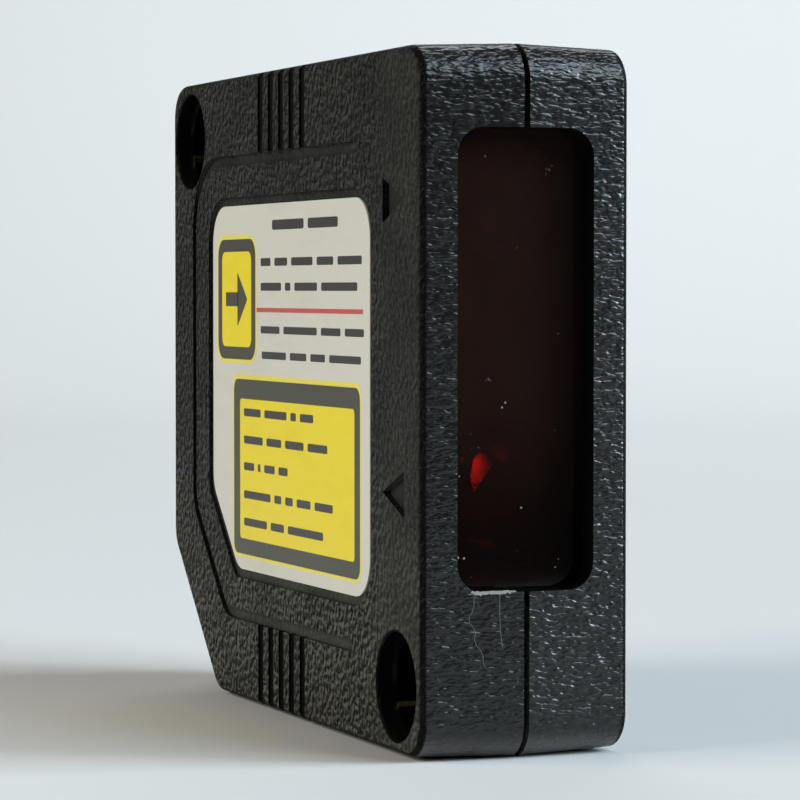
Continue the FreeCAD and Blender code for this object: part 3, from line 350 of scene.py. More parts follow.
class Moulding(Finish):
    """Black plastic: a glossy ridged grain in front, dull pebbles on the sides and the top."""

    def __init__(self, look):
        super().__init__("moulded_plastic")
        self.look = look
        self.front, self.half, top = CAD_BOX[0].y, CAD_BOX[1].x, CAD_BOX[1].z
        self.middle = top / 2
        x, self.y, self.z = self.split(self.place())
        self.across = abs(x)
        side, _, up = self.split(self.node("ShaderNodeTexCoord", output="Normal"))
        self.facing = abs(side)
        self.patchy = self.noise(self.place(), 160, 3.0, 0.6)
        # 1 below the skin of the sides, then 1 on the top, then 1 where there is grain
        self.sunk = 1 - self.across.rise(self.half - 0.1 * MM, self.half - 0.05 * MM)
        self.lid = up.rise(0.9, 0.97) * self.z.rise(top - 1 * MM, top - 0.6 * MM)
        self.skin = 1 - self.bare()
        # 1 on the walls of recesses that look down, which get painted light
        inner = 1 - abs(self.z - self.middle).rise(self.middle - 3 * MM, self.middle - 2 * MM)
        self.under = self.sunk * (1 - up.rise(-0.6, -0.3)) * inner * self.skin

    def bare(self):
        """1 where there is no grain: in the grips, the fixing holes and the window's opening."""
        look = self.look
        beside = abs(self.y - (self.front + look.grip_middle))
        beside = 1 - beside.rise(look.grip_reach, look.grip_reach + 0.1 * MM)
        end = self.middle - look.grip_run
        ends = abs(self.z - self.middle).rise(end, end + 0.05 * MM)
        bare = self.sunk * beside * self.facing.rise(0.25, 0.35) * ends
        for name in HOLES:
            away = hole_distance(self, name)
            bare = bare.most(1 - away.rise(look.hole_radius + 0.01 * MM, look.hole_radius + 0.04 * MM))
        low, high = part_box("front_window")
        opening = 1 - self.across.rise(high.x, high.x + 0.05 * MM)
        opening = opening * (1 - self.y.rise(high.y, high.y + 0.1 * MM))
        opening = opening * self.z.rise(low.z - 0.05 * MM, low.z)
        opening = opening * (1 - self.z.rise(high.z, high.z + 0.05 * MM))
        depth = self.y - self.front - self.across * (look.lean / self.half)
        return bare.most(opening * depth.rise(0.05 * MM, 0.1 * MM))

    def glossy(self):
        """The front: ridges drawn out across the part, dusty on their heights and scuffed at the foot."""
        look = self.look
        ridges = self.noise(self.stretch((look.grain_stretch, 1.0, 1.0)), 1 / look.grain, 1.0, 0.5, 0.3)
        worn = ridges.rise(0.44, 0.66) * (0.4 + 0.6 * self.patchy.rise(0.3, 0.7)) * look.wear
        flecks = 1 - self.cells(900).rise(0.02, 0.07)
        flecks = flecks * self.noise(self.place(), 700, 0.0).rise(0.58, 0.66)
        dusty = self.mix(worn.most(flecks * 0.5) * self.skin, look.plastic, look.dust)
        foot = (1 - self.z.rise(0.4 * MM, 1.7 * MM)) * self.patchy.rise(0.25, 0.6)
        scuffed = self.mix(foot * self.skin, dusty, look.scuff)
        height = ridges * self.skin - self.across * (look.tilt / look.grain_depth)
        return self.principled({
            # Walls of recesses that look down are painted lighter here: painted light
            "Base Color": self.mix(self.under, scuffed, look.painted_light_downward_walls), "Specular IOR Level": 0.5,
            "Roughness": look.roughness + 0.1 * (self.patchy - 0.5) - 0.08 * (1 - self.skin),
            "Normal": self.bump(height, look.grain_depth)})

    def pebbles(self, place):
        return self.noise(place, 1 / self.look.pebble, 2.0, 0.5, 0.4)

    def dull(self):
        """The sides: painted light on the slopes that face up and painted shade between the pebbles, over
        the plastic's matte tone, calmer in recesses and next to the front.
        """
        look = self.look
        pebbles = self.pebbles(self.place())
        above = self.pebbles(self.moved((0.0, 0.1 * MM, 0.16 * MM)))
        # Painted relief: slopes that face up are painted lighter and the hollows darker
        slopes = (pebbles - above).rise(-0.06, 0.16) * 0.8 + pebbles.rise(0.36, 0.64) * 0.3
        floors = self.sunk * self.facing.rise(0.965, 0.985)
        calm = floors.most(0.55 * (1 - self.y.rise(self.front + 5 * MM, self.front + 9 * MM)))
        tops = (slopes * (1 - calm) + 0.4 * calm) * (0.7 + 0.6 * self.patchy.rise(0.3, 0.7))
        # Painted light from the floor: the upper half of the sides is painted darker than the foot
        painted_upper_shade_factor = 1 - look.painted_upper_shade * self.z.rise(3 * MM, 20 * MM)
        # Painted shade: faces that turn away from the side, such as the fillet to the front, keep only the
        # dark colour between the pebbles
        tops = tops * painted_upper_shade_factor * self.facing.rise(0.8, 0.97).most(self.lid)
        # The plastic's matte tone with painted light and shade on the pebbles, and painted light on walls
        # that look down
        dirt = self.mix(self.under, self.mix(tops, look.painted_valley_shade, look.painted_lit_pebble_top), look.painted_light_downward_walls)
        return self.principled({
            "Base Color": self.mix(self.skin, look.plastic, dirt), "Specular IOR Level": 0.06,
            "Roughness": 0.55 - 0.1 * pebbles,
            "Normal": self.bump(pebbles * self.skin * (1 - 0.6 * calm), look.pebble_depth)})

    def both(self):
        """The dull shader on the sides and the top, and the glossy one elsewhere."""
        matte = self.facing.rise(0.12, 0.3).most(self.lid)
        return self.show(self.node("ShaderNodeMixShader", inputs={
            0: matte, 1: self.glossy(), 2: self.dull()}))


def window_filter(look):
    """A deep red filter with a diffuse film that paints a reflection on it, fading towards the foot."""
    finish = Finish("window_filter")
    low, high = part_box("front_window")
    z = finish.split(finish.place())[2]
    smear = finish.noise(finish.stretch((1.0, 1.0, 0.5)), 220, 3.0, 0.6, 0.4)
    clear = finish.principled({
        "Base Color": look.filter, "Roughness": 0.03 + 0.03 * smear,
        "Transmission Weight": 1.0, "IOR": 1.33})
    # A diffuse film that paints the reflection on the filter
    film = finish.principled({"Base Color": look.painted_reflection, "Roughness": 0.8, "Specular IOR Level": 0.0})
    height = (z - low.z) / (high.z - low.z)
    # Painted reflection: stronger towards the top and patchy
    painted_reflection_share = look.film * (0.25 + 0.75 * height.rise(0.12, 0.5)) * (0.6 + 0.8 * smear)
    return finish.show(finish.node("ShaderNodeMixShader", inputs={0: painted_reflection_share, 1: clear, 2: film}))


def turned_metal(name, tone, axis, roughness=0.25):
    """Metal from a lathe, with fine rings along its axis."""
    finish = Finish(name)
    scale = [20.0, 20.0, 20.0]
    scale[axis] = 9000.0
    rings = finish.noise(finish.stretch(scale), 1.0, 2.0, 0.6)
    stain = finish.noise(finish.place(), 500, 3.0, 0.6)
    dull = [part * 0.62 for part in tone]
    return finish.surface({
        "Base Color": finish.mix(stain.rise(0.45, 0.8) * 0.5, tone, dull), "Metallic": 1.0,
        "Roughness": roughness + 0.15 * stain.rise(0.35, 0.8) + 0.08 * rings,
        "Normal": finish.bump(rings, 0.004 * MM, 0.6)})


def stake_steel():
    """Polished steel, painted darker towards the foot of the stakes so that their glint fades there:
    painted shade.
    """
    finish = Finish("stake_steel")
    z = finish.split(finish.place())[2]
    stain = finish.noise(finish.place(), 1500, 2.0)
    # Painted shade: the glint is dimmed by a darker colour towards the foot of the stakes
    clean = z.rise(15.2 * MM, 16.5 * MM) * (0.8 + 0.4 * stain)
    return finish.surface({
        "Base Color": finish.mix(clean, (0.12, 0.14, 0.16), (0.6, 0.7, 0.8)), "Metallic": 1.0,
        "Roughness": 0.2 + 0.06 * stain})


def sleeve_metal(look):
    """Brass painted nearly black in its bore as painted shade, with a painted highlight line along the
    bore.
    """
    finish = Finish("sleeve_metal")
    bare = 0
    y, z = finish.split(finish.place())[1:]
    for name in HOLES:
        middle = MOUNTS[name]["pos_m"]
        way = (y - middle[1]) * math.cos(look.painted_highlight_angle) + (z - middle[2]) * math.sin(look.painted_highlight_angle)
        away = hole_distance(finish, name)
        near = 1 - away.rise(4.0 * MM, 4.2 * MM)
        # Painted highlight: a line along each bore at the set angle
        bare = bare + (way / away).rise(0.988, 0.996) * near
    streak = finish.noise(finish.stretch((40.0, 1500.0, 1500.0)), 1.0, 2.0, 0.6)
    painted_highlight = bare * streak.rise(0.35, 0.6)
    return finish.surface({
        "Base Color": finish.mix(painted_highlight, look.painted_shade_brass, look.painted_highlight_brass), "Metallic": 1.0,
        "Roughness": 0.2 + 0.1 * streak})


def soft_rubber(name, tone):
    """Dull rubber with a fine tooth."""
    finish = Finish(name)
    speck = finish.noise(finish.place(), 5000, 2.0, 0.6)
    return finish.surface({
        "Base Color": finish.mix(speck, [part * 0.7 for part in tone], tone),
        "Roughness": 0.62 + 0.15 * speck, "Normal": finish.bump(speck, 0.01 * MM, 0.5)})


def plain_moulding(name, tone, roughness):
    """Fine matte moulding with flow marks."""
    finish = Finish(name)
    skin = finish.noise(finish.place(), 4000, 2.0, 0.55)
    flow = finish.noise(finish.stretch((1.0, 1.0, 0.3)), 260, 3.0, 0.55, 0.5)
    return finish.surface({
        "Base Color": finish.mix(flow.rise(0.3, 0.75), [part * 0.75 for part in tone], tone),
        "Roughness": roughness + 0.12 * (flow - 0.5), "Normal": finish.bump(skin, 0.012 * MM, 0.6)})


def clear_glass():
    """Lens glass with a faint film."""
    finish = Finish("clear_glass")
    film = finish.noise(finish.place(), 400, 3.0, 0.6)
    return finish.surface({
        "Base Color": (0.93, 0.95, 0.96), "Roughness": 0.02 + 0.04 * film.rise(0.5, 0.9),
        "Transmission Weight": 1.0, "IOR": 1.52})


def lit_plastic(name, tone, roughness, clearness):
    """Clear tinted plastic, a little milky."""
    finish = Finish(name)
    swirl = finish.noise(finish.place(), 900, 3.0, 0.55, 0.8)
    pale = [part + (1 - part) * 0.25 for part in tone]
    return finish.surface({
        "Base Color": finish.mix(swirl.rise(0.3, 0.7), tone, pale), "Roughness": roughness + 0.06 * swirl,
        "Transmission Weight": clearness, "IOR": 1.49})


def solder_mask():
    """A green board with tracks under the mask and tinned pads."""
    finish = Finish("solder_mask")
    weave = finish.noise(finish.stretch((1.0, 3.0, 1.0)), 2400, 1.0)
    cell = finish.cells(420, "MANHATTAN")
    track = 1 - abs(cell - 0.55).rise(0.04, 0.07)
    pad = 1 - cell.rise(0.10, 0.13)
    mask = finish.mix(track, (0.012, 0.10, 0.035), (0.03, 0.22, 0.07))
    tone = finish.mix(pad, mask, (0.72, 0.71, 0.68))
    return finish.surface({
        "Base Color": tone, "Metallic": pad * 0.9, "Roughness": 0.38 + 0.1 * weave - 0.1 * pad,
        "Normal": finish.bump(track * 0.6 + pad + 0.2 * weave, 0.02 * MM, 0.6)})


def chip_case(node):
    """A moulded package with a dimple in one corner."""
    finish = Finish(f"{node}_case")
    low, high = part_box(node)
    y, z = finish.split(finish.place())[1:]
    inset = 0.16 * (high.z - low.z)
    away = ((y - (low.y + inset)) ** 2 + (z - (high.z - inset)) ** 2).root()
    dimple = 1 - away.rise(0.3 * MM, 0.36 * MM)
    matte = finish.noise(finish.place(), 7000, 2.0, 0.6)
    return finish.surface({
        "Base Color": finish.mix(matte, (0.02, 0.02, 0.021), (0.035, 0.035, 0.036)),
        "Roughness": 0.55 - 0.25 * dimple + 0.1 * matte,
        "Normal": finish.bump(matte * 0.15 - dimple, 0.03 * MM, 0.7)})


def capacitor_can(node):
    """A bright can with a dark sector and a scored top."""
    finish = Finish(f"{node}_can")
    low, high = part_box(node)
    x, y, z = finish.split(finish.place())
    middle = (low + high) / 2
    top = 1 - x.rise(low.x + 0.02 * MM, low.x + 0.06 * MM)
    sector = (y - middle.y).rise(0.7 * MM, 0.75 * MM) * top
    upright, level = [1 - abs(way).rise(0.08 * MM, 0.14 * MM) for way in (y - middle.y, z - middle.z)]
    score = upright.most(level) * top
    brushed = finish.noise(finish.stretch((9.0, 1.0, 1.0)), 900, 2.0)
    return finish.surface({
        "Base Color": finish.mix(sector, (0.74, 0.74, 0.76), (0.03, 0.03, 0.035)), "Metallic": 1 - sector,
        "Roughness": 0.28 + 0.12 * brushed, "Normal": finish.bump(brushed * 0.1 - score, 0.04 * MM, 0.7)})


def plated_nickel():
    """Plated brass, stained here and there."""
    finish = Finish("plated_nickel")
    wear = finish.noise(finish.place(), 700, 3.0, 0.6)
    scratch = finish.noise(finish.stretch((1.0, 6.0, 1.0), (math.radians(45), 0, 0)), 900, 2.0, 0.6)
    return finish.surface({
        "Base Color": finish.mix(wear.rise(0.4, 0.8), (0.66, 0.64, 0.58), (0.50, 0.47, 0.41)),
        "Metallic": 1.0, "Roughness": 0.22 + 0.16 * wear + 0.06 * scratch,
        "Normal": finish.bump(scratch, 0.004 * MM, 0.5)})


def printed(name, tone):
    """Ink or film on the label: a fine screen, light scuffs and a little gloss."""
    finish = Finish(name)
    screen = finish.noise(finish.place(), 6500, 1.0)
    scuff = finish.noise(finish.stretch((1.0, 0.25, 1.0)), 420, 4.0, 0.65)
    worn = [part * 0.86 + 0.02 for part in tone]
    return finish.surface({
        "Base Color": finish.mix(scuff.rise(0.45, 0.8) * 0.7, tone, worn), "Roughness": 0.34 + 0.16 * scuff,
        "Normal": finish.bump(screen, 0.004 * MM, 0.35)})


def loose_dirt(name, tone):
    """Dust, residue or lint."""
    finish = Finish(name)
    fibre = finish.noise(finish.place(), 9000, 2.0)
    return finish.surface({
        "Base Color": finish.mix(fibre, [part * 0.6 for part in tone], tone),
        "Roughness": 0.8 + 0.15 * fibre, "Normal": finish.bump(fibre, 0.01 * MM, 0.5)})


# Pieces
def finish_piece(name, bm, materials, body=BODY, replaced=(), crease=None):
    """Makes a bmesh one of the part's pieces, at the origin and riding on a body.

    With a crease angle, edges that are blunter look smooth.
    """
    bmesh.ops.recalc_face_normals(bm, faces=bm.faces)
    mesh = bpy.data.meshes.new(name)
    bm.to_mesh(mesh)
    bm.free()
    if crease:
        mesh.shade_smooth()
        mesh.set_sharp_from_angle(angle=crease)
    for material in materials:
        mesh.materials.append(material)
    piece = bpy.data.objects.new(name, mesh)
    bpy.context.scene.collection.objects.link(piece)
    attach(piece, body)
    if replaced:
        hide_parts(*replaced)
    return piece


class LabelSheet:
    """Builds a label flat against the left side.

    u runs to the front from its back edge and v up from its foot, both in millimetres.
    """

    def __init__(self):
        self.bm = bmesh.new()
        low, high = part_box("side_label")
        self.back, self.foot = high.y, low.z
        self.skin = low.x
        self.seat = high.x
        self.width, self.height = (high.y - low.y) / MM, (high.z - low.z) / MM

    def slab(self, corners, radii, base, thickness, material, easing=0.0):
        """A flat slab through corners in millimetres, each rounded by its own radius."""
        before = set(self.bm.faces)
        points = [self.bm.verts.new((base, self.back - u * MM, self.foot + v * MM)) for u, v in corners]
        self.bm.faces.new(points)
        for point, radius in zip(points, radii):
            if radius:
                bmesh.ops.bevel(self.bm, geom=[point], offset=radius * MM, offset_type="OFFSET", segments=8,
                                profile=0.5, affect="VERTICES", material=-1, clamp_overlap=True)
        sheet = [face for face in self.bm.faces if face not in before]
        raised = bmesh.ops.extrude_face_region(self.bm, geom=sheet)["geom"]
        top = next(item for item in raised if isinstance(item, bmesh.types.BMFace))
        bmesh.ops.translate(self.bm, verts=top.verts, vec=(-thickness, 0, 0))
        if easing:
            bmesh.ops.bevel(self.bm, geom=list(top.edges), offset=easing, offset_type="OFFSET", segments=2,
                            profile=0.5, affect="EDGES", material=-1, clamp_overlap=True)
        for face in self.bm.faces:
            if face not in before:
                face.material_index = material

    def field(self, u, v, radius, layer, material, step):
        """A printed field between two bounds along each way, on a numbered layer of ink."""
        corners = ((u[0], v[0]), (u[1], v[0]), (u[1], v[1]), (u[0], v[1]))
        self.slab(corners, [radius] * 4, self.skin - step * (layer - 1), step, material)


def label_rows(sheet, step, ink):
    """Bars that stand for lines of text: start, middle height, bar height and the words' lengths."""
    rows = (
        (11.9, 21.95, 0.62, (5.9, 5.3)),
        (9.7, 19.65, 0.5, (1.9, 2.4, 3.9, 2.9, 4.1)),
        (9.7, 18.1, 0.5, (3.9, 1.0, 4.1, 6.2)),
        (9.7, 15.4, 0.46, (3.6, 6.1, 3.4, 3.2)),
        (9.9, 13.8, 0.46, (4.6, 3.0, 2.6, 5.4)),
        (6.4, 10.1, 0.5, (3.3, 4.2, 1.0, 2.4)),
        (6.4, 8.35, 0.5, (3.7, 2.8, 3.4, 3.5)),
        (6.4, 6.65, 0.5, (2.0, 0.5, 2.0, 1.7)),
        (6.4, 4.85, 0.5, (5.2, 1.3, 1.4, 2.5, 3.2)),
        (6.4, 3.1, 0.5, (4.5, 2.5, 6.4)),
    )
    gap, on_film, on_panel, panel_start = 0.75, 1, 4, 6.4
    for start, middle, rise, words in rows:
        u = start
        layer = on_panel if start == panel_start else on_film
        for word in words:
            sheet.field((u, u + word), (middle - rise / 2, middle + rise / 2), rise * 0.3, layer, ink, step)
            u += word + gap


def build_label(look):
    """The printed label that stands for the CAD film."""
    tones = ("film", "field", "edge", "ink", "border", "rule")
    film, field, edge, ink, border, rule = range(len(tones))
    sheet = LabelSheet()
    width, height, slant = sheet.width, sheet.height, 5.1
    step = look.ink_step
    corners = ((0, slant), (slant, 0), (width, 0), (width, height), (0, height))
    radii = (0.8, 0.8, 2.4, 2.4, 2.4)
    sheet.slab(corners, radii, sheet.seat, sheet.seat - sheet.skin, film, easing=0.03 * MM)
    # The panel of fields in the lower half
    sheet.field((4.1, 27.8), (0.8, 12.5), 0.9, 1, edge, step)
    sheet.field((4.35, 27.6), (1.0, 12.2), 0.75, 2, border, step)
    sheet.field((5.6, 26.7), (2.0, 10.95), 0.3, 3, field, step)
    # The tile in the upper half, with an arrow that points the way the beam leaves
    sheet.field((0.9, 8.9), (13.2, 21.4), 1.3, 1, edge, step)
    sheet.field((1.15, 8.65), (13.45, 21.15), 1.1, 2, border, step)
    sheet.field((1.95, 7.85), (14.25, 20.35), 0.6, 3, field, step)
    sheet.field((2.75, 5.2), (16.85, 17.75), 0.0, 4, border, step)
    head = ((5.1, 15.55), (7.1, 17.3), (5.1, 19.05))
    sheet.slab(head, (0.12, 0.12, 0.12), sheet.skin - step * 3, step, border)
    # The rule between the upper lines
    sheet.field((8.9, 28.1), (16.5, 16.78), 0.0, 1, rule, step)
    label_rows(sheet, step, ink)
    materials = [printed(f"label_{tone}", getattr(look, tone)) for tone in tones]
    return finish_piece("printed_label", sheet.bm, materials, replaced=("side_label",))


def thread_band(bm, look, start, end, segments):
    """A band of thread between two places: rows of points that climb one pitch per turn."""
    # Each row's place within a pitch and its share of the thread's depth
    profile = ((0.0, 1.0), (0.125, 1.0), (0.44, 0.0), (0.69, 0.0))
    run_in, run_out = 0.4 * look.pitch, 0.1 * look.pitch
    turns = math.ceil((end - start) / look.pitch) + 1
    rows = []
    for turn in range(-1, turns):
        for place, share_of_depth in profile:
            row = []
            for step in range(segments + 1):
                along = start + (turn + place + step / segments) * look.pitch
                along = min(max(along, start), end)
                fade = min(1.0, (along - start) / run_in, (end - along) / run_out)
                cone = look.nose_radius - max(0.0, along - (look.nose_length - look.chamfer))
                crest = min(look.nose_radius, cone) - look.root_radius
                radius = look.root_radius + max(0.0, crest) * share_of_depth * fade
                angle = math.tau * step / segments
                row.append(bm.verts.new((radius * math.cos(angle), radius * math.sin(angle), along)))
            rows.append(row)
    for lower, upper in zip(rows, rows[1:]):
        for step in range(segments):
            bm.faces.new((lower[step], lower[step + 1], upper[step + 1], upper[step]))


def build_inlet(look):
    """The inlet's metal shell with a cut thread, turned about its axis and set on the slanted corner."""
    bm = bmesh.new()
    segments = 64
    neck, ease = 0.2 * MM, 0.1 * MM
    tip, nose = look.nose_length, look.nose_radius
    groove_low = -(look.wall + look.groove_width) / 2
    groove_high = groove_low + look.groove_width
    back = -(look.wall + look.flange)
    cup_floor = tip - look.cup_depth
    corners = (
        (look.root_radius, look.thread_start), (look.root_radius, look.thread_start - neck),
        (nose, look.thread_start - 2 * neck), (nose, groove_high), (look.groove_radius, groove_high),
        (look.groove_radius, groove_low), (nose, groove_low), (nose, -look.wall),
        (look.flange_radius, -look.wall), (look.flange_radius, back), (look.bore_radius, back),
        (look.bore_radius, cup_floor), (look.cup_radius, cup_floor), (look.cup_radius, tip - ease),
        (look.cup_radius + ease, tip), (look.root_radius, tip))
    points = [bm.verts.new((radius, 0, along)) for radius, along in corners]
    edges = [bm.edges.new(pair) for pair in zip(points, points[1:])]
    bmesh.ops.spin(bm, geom=points + edges, cent=(0, 0, 0), axis=(0, 0, 1), angle=math.tau, steps=segments,
                   use_merge=True)
    thread_band(bm, look, look.thread_start, tip, segments)
    bmesh.ops.remove_doubles(bm, verts=bm.verts, dist=0.001 * MM)
    outward = Vector((0, HALF_ROOT, -HALF_ROOT))
    turn = outward.to_track_quat("Z", "X").to_matrix().to_4x4()
    foot = Vector(MOUNTS["cable_inlet"]["pos_m"]) - outward * tip
    bmesh.ops.transform(bm, matrix=Matrix.Translation(foot) @ turn, verts=bm.verts)
    return finish_piece("threaded_inlet", bm, [plated_nickel()], replaced=("inlet_insert",),
                        crease=math.radians(25))


def drop(bm, middle, facing, width, height, bulge, depth):
    """A drop-shaped post with a domed end that faces one way."""
    outline = ((0.06, 0.49), (0.44, 0.41), (0.51, 0.19), (0.23, -0.03), (-0.1, -0.25), (-0.43, -0.5),
               (-0.49, -0.27), (-0.44, -0.03), (-0.22, 0.33))
    points = [bm.verts.new((u * width, v * height, 0)) for u, v in outline]
    grown = bmesh.ops.poke(bm, faces=[bm.faces.new(points)])
    peak = grown["verts"][0]
    bmesh.ops.translate(bm, verts=[peak], vec=(0.08 * width, 0.12 * height, bulge))
    rim = [edge for face in grown["faces"] for edge in face.edges if edge.is_boundary]
    skirt = bmesh.ops.extrude_edge_only(bm, edges=rim)["geom"]
    low = [item for item in skirt if isinstance(item, bmesh.types.BMVert)]
    bmesh.ops.translate(bm, verts=low, vec=(0, 0, -depth))
    hem = [item for item in skirt if isinstance(item, bmesh.types.BMEdge) and item.is_boundary]
    bmesh.ops.contextual_create(bm, geom=hem)
    turn = facing.to_track_quat("Z", "Y").to_matrix().to_4x4()
    bmesh.ops.transform(bm, matrix=Matrix.Translation(middle) @ turn, verts=points + [peak] + low)


def build_stakes():
    """Polished stakes that stand in the receiver lens and glint through the filter."""
    bm = bmesh.new()
    facing = Vector((0.308, -0.907, 0.277))
    # Across, along and up from the part's origin, width and height in millimetres
    for x, y, z, width, height in ((-1.45, -20.31, 16.1, 1.9, 2.3), (-2.25, -19.43, 16.75, 0.3, 0.4)):
        middle = Vector((x, y, z)) * MM
        bulge, depth = 0.02 * width, 0.5 * width
        drop(bm, middle, facing, width * MM, height * MM, bulge * MM, depth * MM)
    return finish_piece("lens_stakes", bm, [stake_steel()], crease=math.radians(40))


def flake(bm, middle, size, flat, chance):
    """One ragged flake, flattened along an axis."""
    made = bmesh.ops.create_icosphere(bm, subdivisions=1, radius=0.5)
    for vert in made["verts"]:
        vert.co *= chance.uniform(0.6, 1.15)
    scale = [size * chance.uniform(0.6, 1.3) for _ in range(3)]
    scale[flat] = size * 0.35
    spin = Matrix.Rotation(chance.uniform(0, math.tau), 4, "XYZ"[flat])
    matrix = Matrix.Translation(middle) @ spin @ Matrix.Diagonal((*scale, 1))
    bmesh.ops.transform(bm, matrix=matrix, verts=made["verts"])


def fibre(bm, points, thickness):
    """A lint fibre through a few points, as a thin tube."""
    ring = bmesh.ops.create_circle(bm, segments=6, radius=thickness / 2, cap_ends=True)["verts"]
    way = (points[1] - points[0]).normalized()
    turn = way.to_track_quat("Z", "Y").to_matrix().to_4x4()
    bmesh.ops.transform(bm, matrix=Matrix.Translation(points[0]) @ turn, verts=ring)
    face = ring[0].link_faces[0]
    for start, end in zip(points, points[1:]):
        grown = bmesh.ops.extrude_face_region(bm, geom=[face])["geom"]
        if start is not points[0]:
            bmesh.ops.delete(bm, geom=[face], context="FACES_ONLY")
        face = next(item for item in grown if isinstance(item, bmesh.types.BMFace))
        bmesh.ops.translate(bm, verts=face.verts, vec=end - start)


def smear(bm, path, heights, thickness):
    """A thin strip on the front that hangs from a path, with its own height at each place."""
    sheet, last = [], None
    for place, height in zip(path, heights):
        pair = (bm.verts.new(place), bm.verts.new(place - Vector((0, 0, height))))
        if last:
            sheet.append(bm.faces.new((*last, *reversed(pair))))
        last = pair
    raised = bmesh.ops.extrude_face_region(bm, geom=sheet)["geom"]
    skin = [item for item in raised if isinstance(item, bmesh.types.BMVert)]
    bmesh.ops.translate(bm, verts=skin, vec=(0, -thickness, 0))


def rounded(points):
    """The same path with each corner cut off."""
    path = [points[0]]
    for start, end in zip(points, points[1:]):
        path += [start.lerp(end, 0.25), start.lerp(end, 0.75)]
    return path + [points[-1]]


def build_dust(look, lean, overlap):
    """Flakes on the window, lint on the front below it, and a smear of residue on the lower lip."""
    chance = random.Random(look.seed)
    low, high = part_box("front_window")
    front, half = CAD_BOX[0].y, CAD_BOX[1].x
    bm = bmesh.new()
    # The flakes and smudges that the window shows best: across, up, width in millimetres and how many
    for x, z, size, count in (
            (-1.89, 33.9, 0.13, 1), (2.1, 33.3, 0.09, 5), (2.59, 23.93, 0.12, 1), (-1.7, 21.3, 0.07, 4),
            (-0.72, 20.0, 0.14, 2), (0.32, 14.12, 0.16, 1), (-3.46, 15.95, 0.14, 1), (-3.2, 11.5, 0.13, 2),
            (2.55, 10.8, 0.12, 2)):
        for _ in range(count):
            apart = 0.0 if count == 1 else 0.14
            spot = Vector((x + chance.gauss(0, apart), 0, z + chance.gauss(0, apart))) * MM
            flake(bm, spot + Vector((0, low.y, 0)), size * MM, 1, chance)
    for _ in range(look.flakes):
        x = chance.uniform(low.x + 1.2 * MM, high.x - 1.2 * MM)
        z = low.z + 1.2 * MM + (high.z - low.z - 2.4 * MM) * chance.random() ** 1.6
        flake(bm, Vector((x, low.y, z)), look.flake * chance.uniform(0.4, 1.0), 1, chance)
    # Dried residue along the left of the lower lip
    lip = low.z + overlap
    path, heights = [], []
    last = 39
    for step in range(last + 1):
        x = (-3.35 + 2.7 * step / last) * MM
        skin = front + lean * abs(x) / half
        path.append(Vector((x, skin + 0.01 * MM, lip + chance.uniform(0.06, 0.13) * MM)))
        thinned = min(1.0, 0.3 + step / 4, 0.3 + (last - step) / 14)
        heights.append(chance.uniform(0.14, 0.26) * thinned * MM)
    smear(bm, path, heights, 0.03 * MM)
    pale = set(bm.faces)
    # Two fibres that hang from the lip: across and up in millimetres
    for trail in (
            ((-3.17, 9.45), (-3.17, 8.62), (-3.57, 8.01), (-3.07, 7.39), (-3.17, 6.76), (-2.65, 6.13),
             (-2.62, 5.5), (-2.38, 5.19), (-1.65, 5.06), (-1.03, 5.12)),
            ((-1.64, 9.45), (-1.64, 8.3), (-1.6, 7.4), (-1.48, 6.4))):
        places = [Vector((x * MM, front + lean * abs(x) * MM / half, z * MM)) for x, z in trail]
        fibre(bm, rounded(places), look.lint)
    for face in bm.faces:
        face.material_index = 0 if face in pale else 1
    materials = [loose_dirt("dust", (0.36, 0.35, 0.33)), loose_dirt("lint", (0.13, 0.125, 0.115))]
    return finish_piece("dust", bm, materials)


# Stage
def build_floor(look):
    """A pale sweep: a floor that curves up behind the part, square to the camera."""
    bm = bmesh.new()
    half_width, front, back, bend, top = 0.32, -0.10, 0.45, 0.25, 0.75
    ends = [bm.verts.new((x, front, 0)) for x in (-half_width, half_width)]
    edge = bm.edges.new(ends)
    grown = bmesh.ops.extrude_edge_only(bm, edges=[edge])["geom"]
    far = [item for item in grown if isinstance(item, bmesh.types.BMVert)]
    bmesh.ops.translate(bm, verts=far, vec=(0, back - front, 0))
    edge = next(item for item in grown if isinstance(item, bmesh.types.BMEdge))
    swung = bmesh.ops.spin(bm, geom=[edge], cent=(0, back, bend), axis=(1, 0, 0), angle=math.pi / 2,
                           steps=24)
    edge = next(item for item in swung["geom_last"] if isinstance(item, bmesh.types.BMEdge))
    grown = bmesh.ops.extrude_edge_only(bm, edges=[edge])["geom"]
    rim = [item for item in grown if isinstance(item, bmesh.types.BMVert)]
    bmesh.ops.translate(bm, verts=rim, vec=(0, 0, top))
    bmesh.ops.rotate(bm, verts=bm.verts, cent=(0, 0, 0), matrix=Matrix.Rotation(-look.yaw, 3, "Z"))
    for face in bm.faces:
        face.smooth = True
    mesh = bpy.data.meshes.new("sweep")
    bm.to_mesh(mesh)
    bm.free()
    finish = Finish("sweep_paper")
    tooth = finish.noise(finish.place(), 900, 3.0, 0.6)
    mesh.materials.append(finish.surface({
        "Base Color": look.floor, "Roughness": 0.85 + 0.1 * tooth, "Specular IOR Level": 0.2}))
    sweep = bpy.data.objects.new("sweep", mesh)
    bpy.context.scene.collection.objects.link(sweep)


def build_world(look):
    """Even light from all round."""
    world = bpy.data.worlds.new("studio")
    bpy.context.scene.world = world
    world.use_nodes = True
    back = world.node_tree.nodes["Background"]
    back.inputs["Color"].default_value = opaque(look.sky)
    back.inputs["Strength"].default_value = 1.0


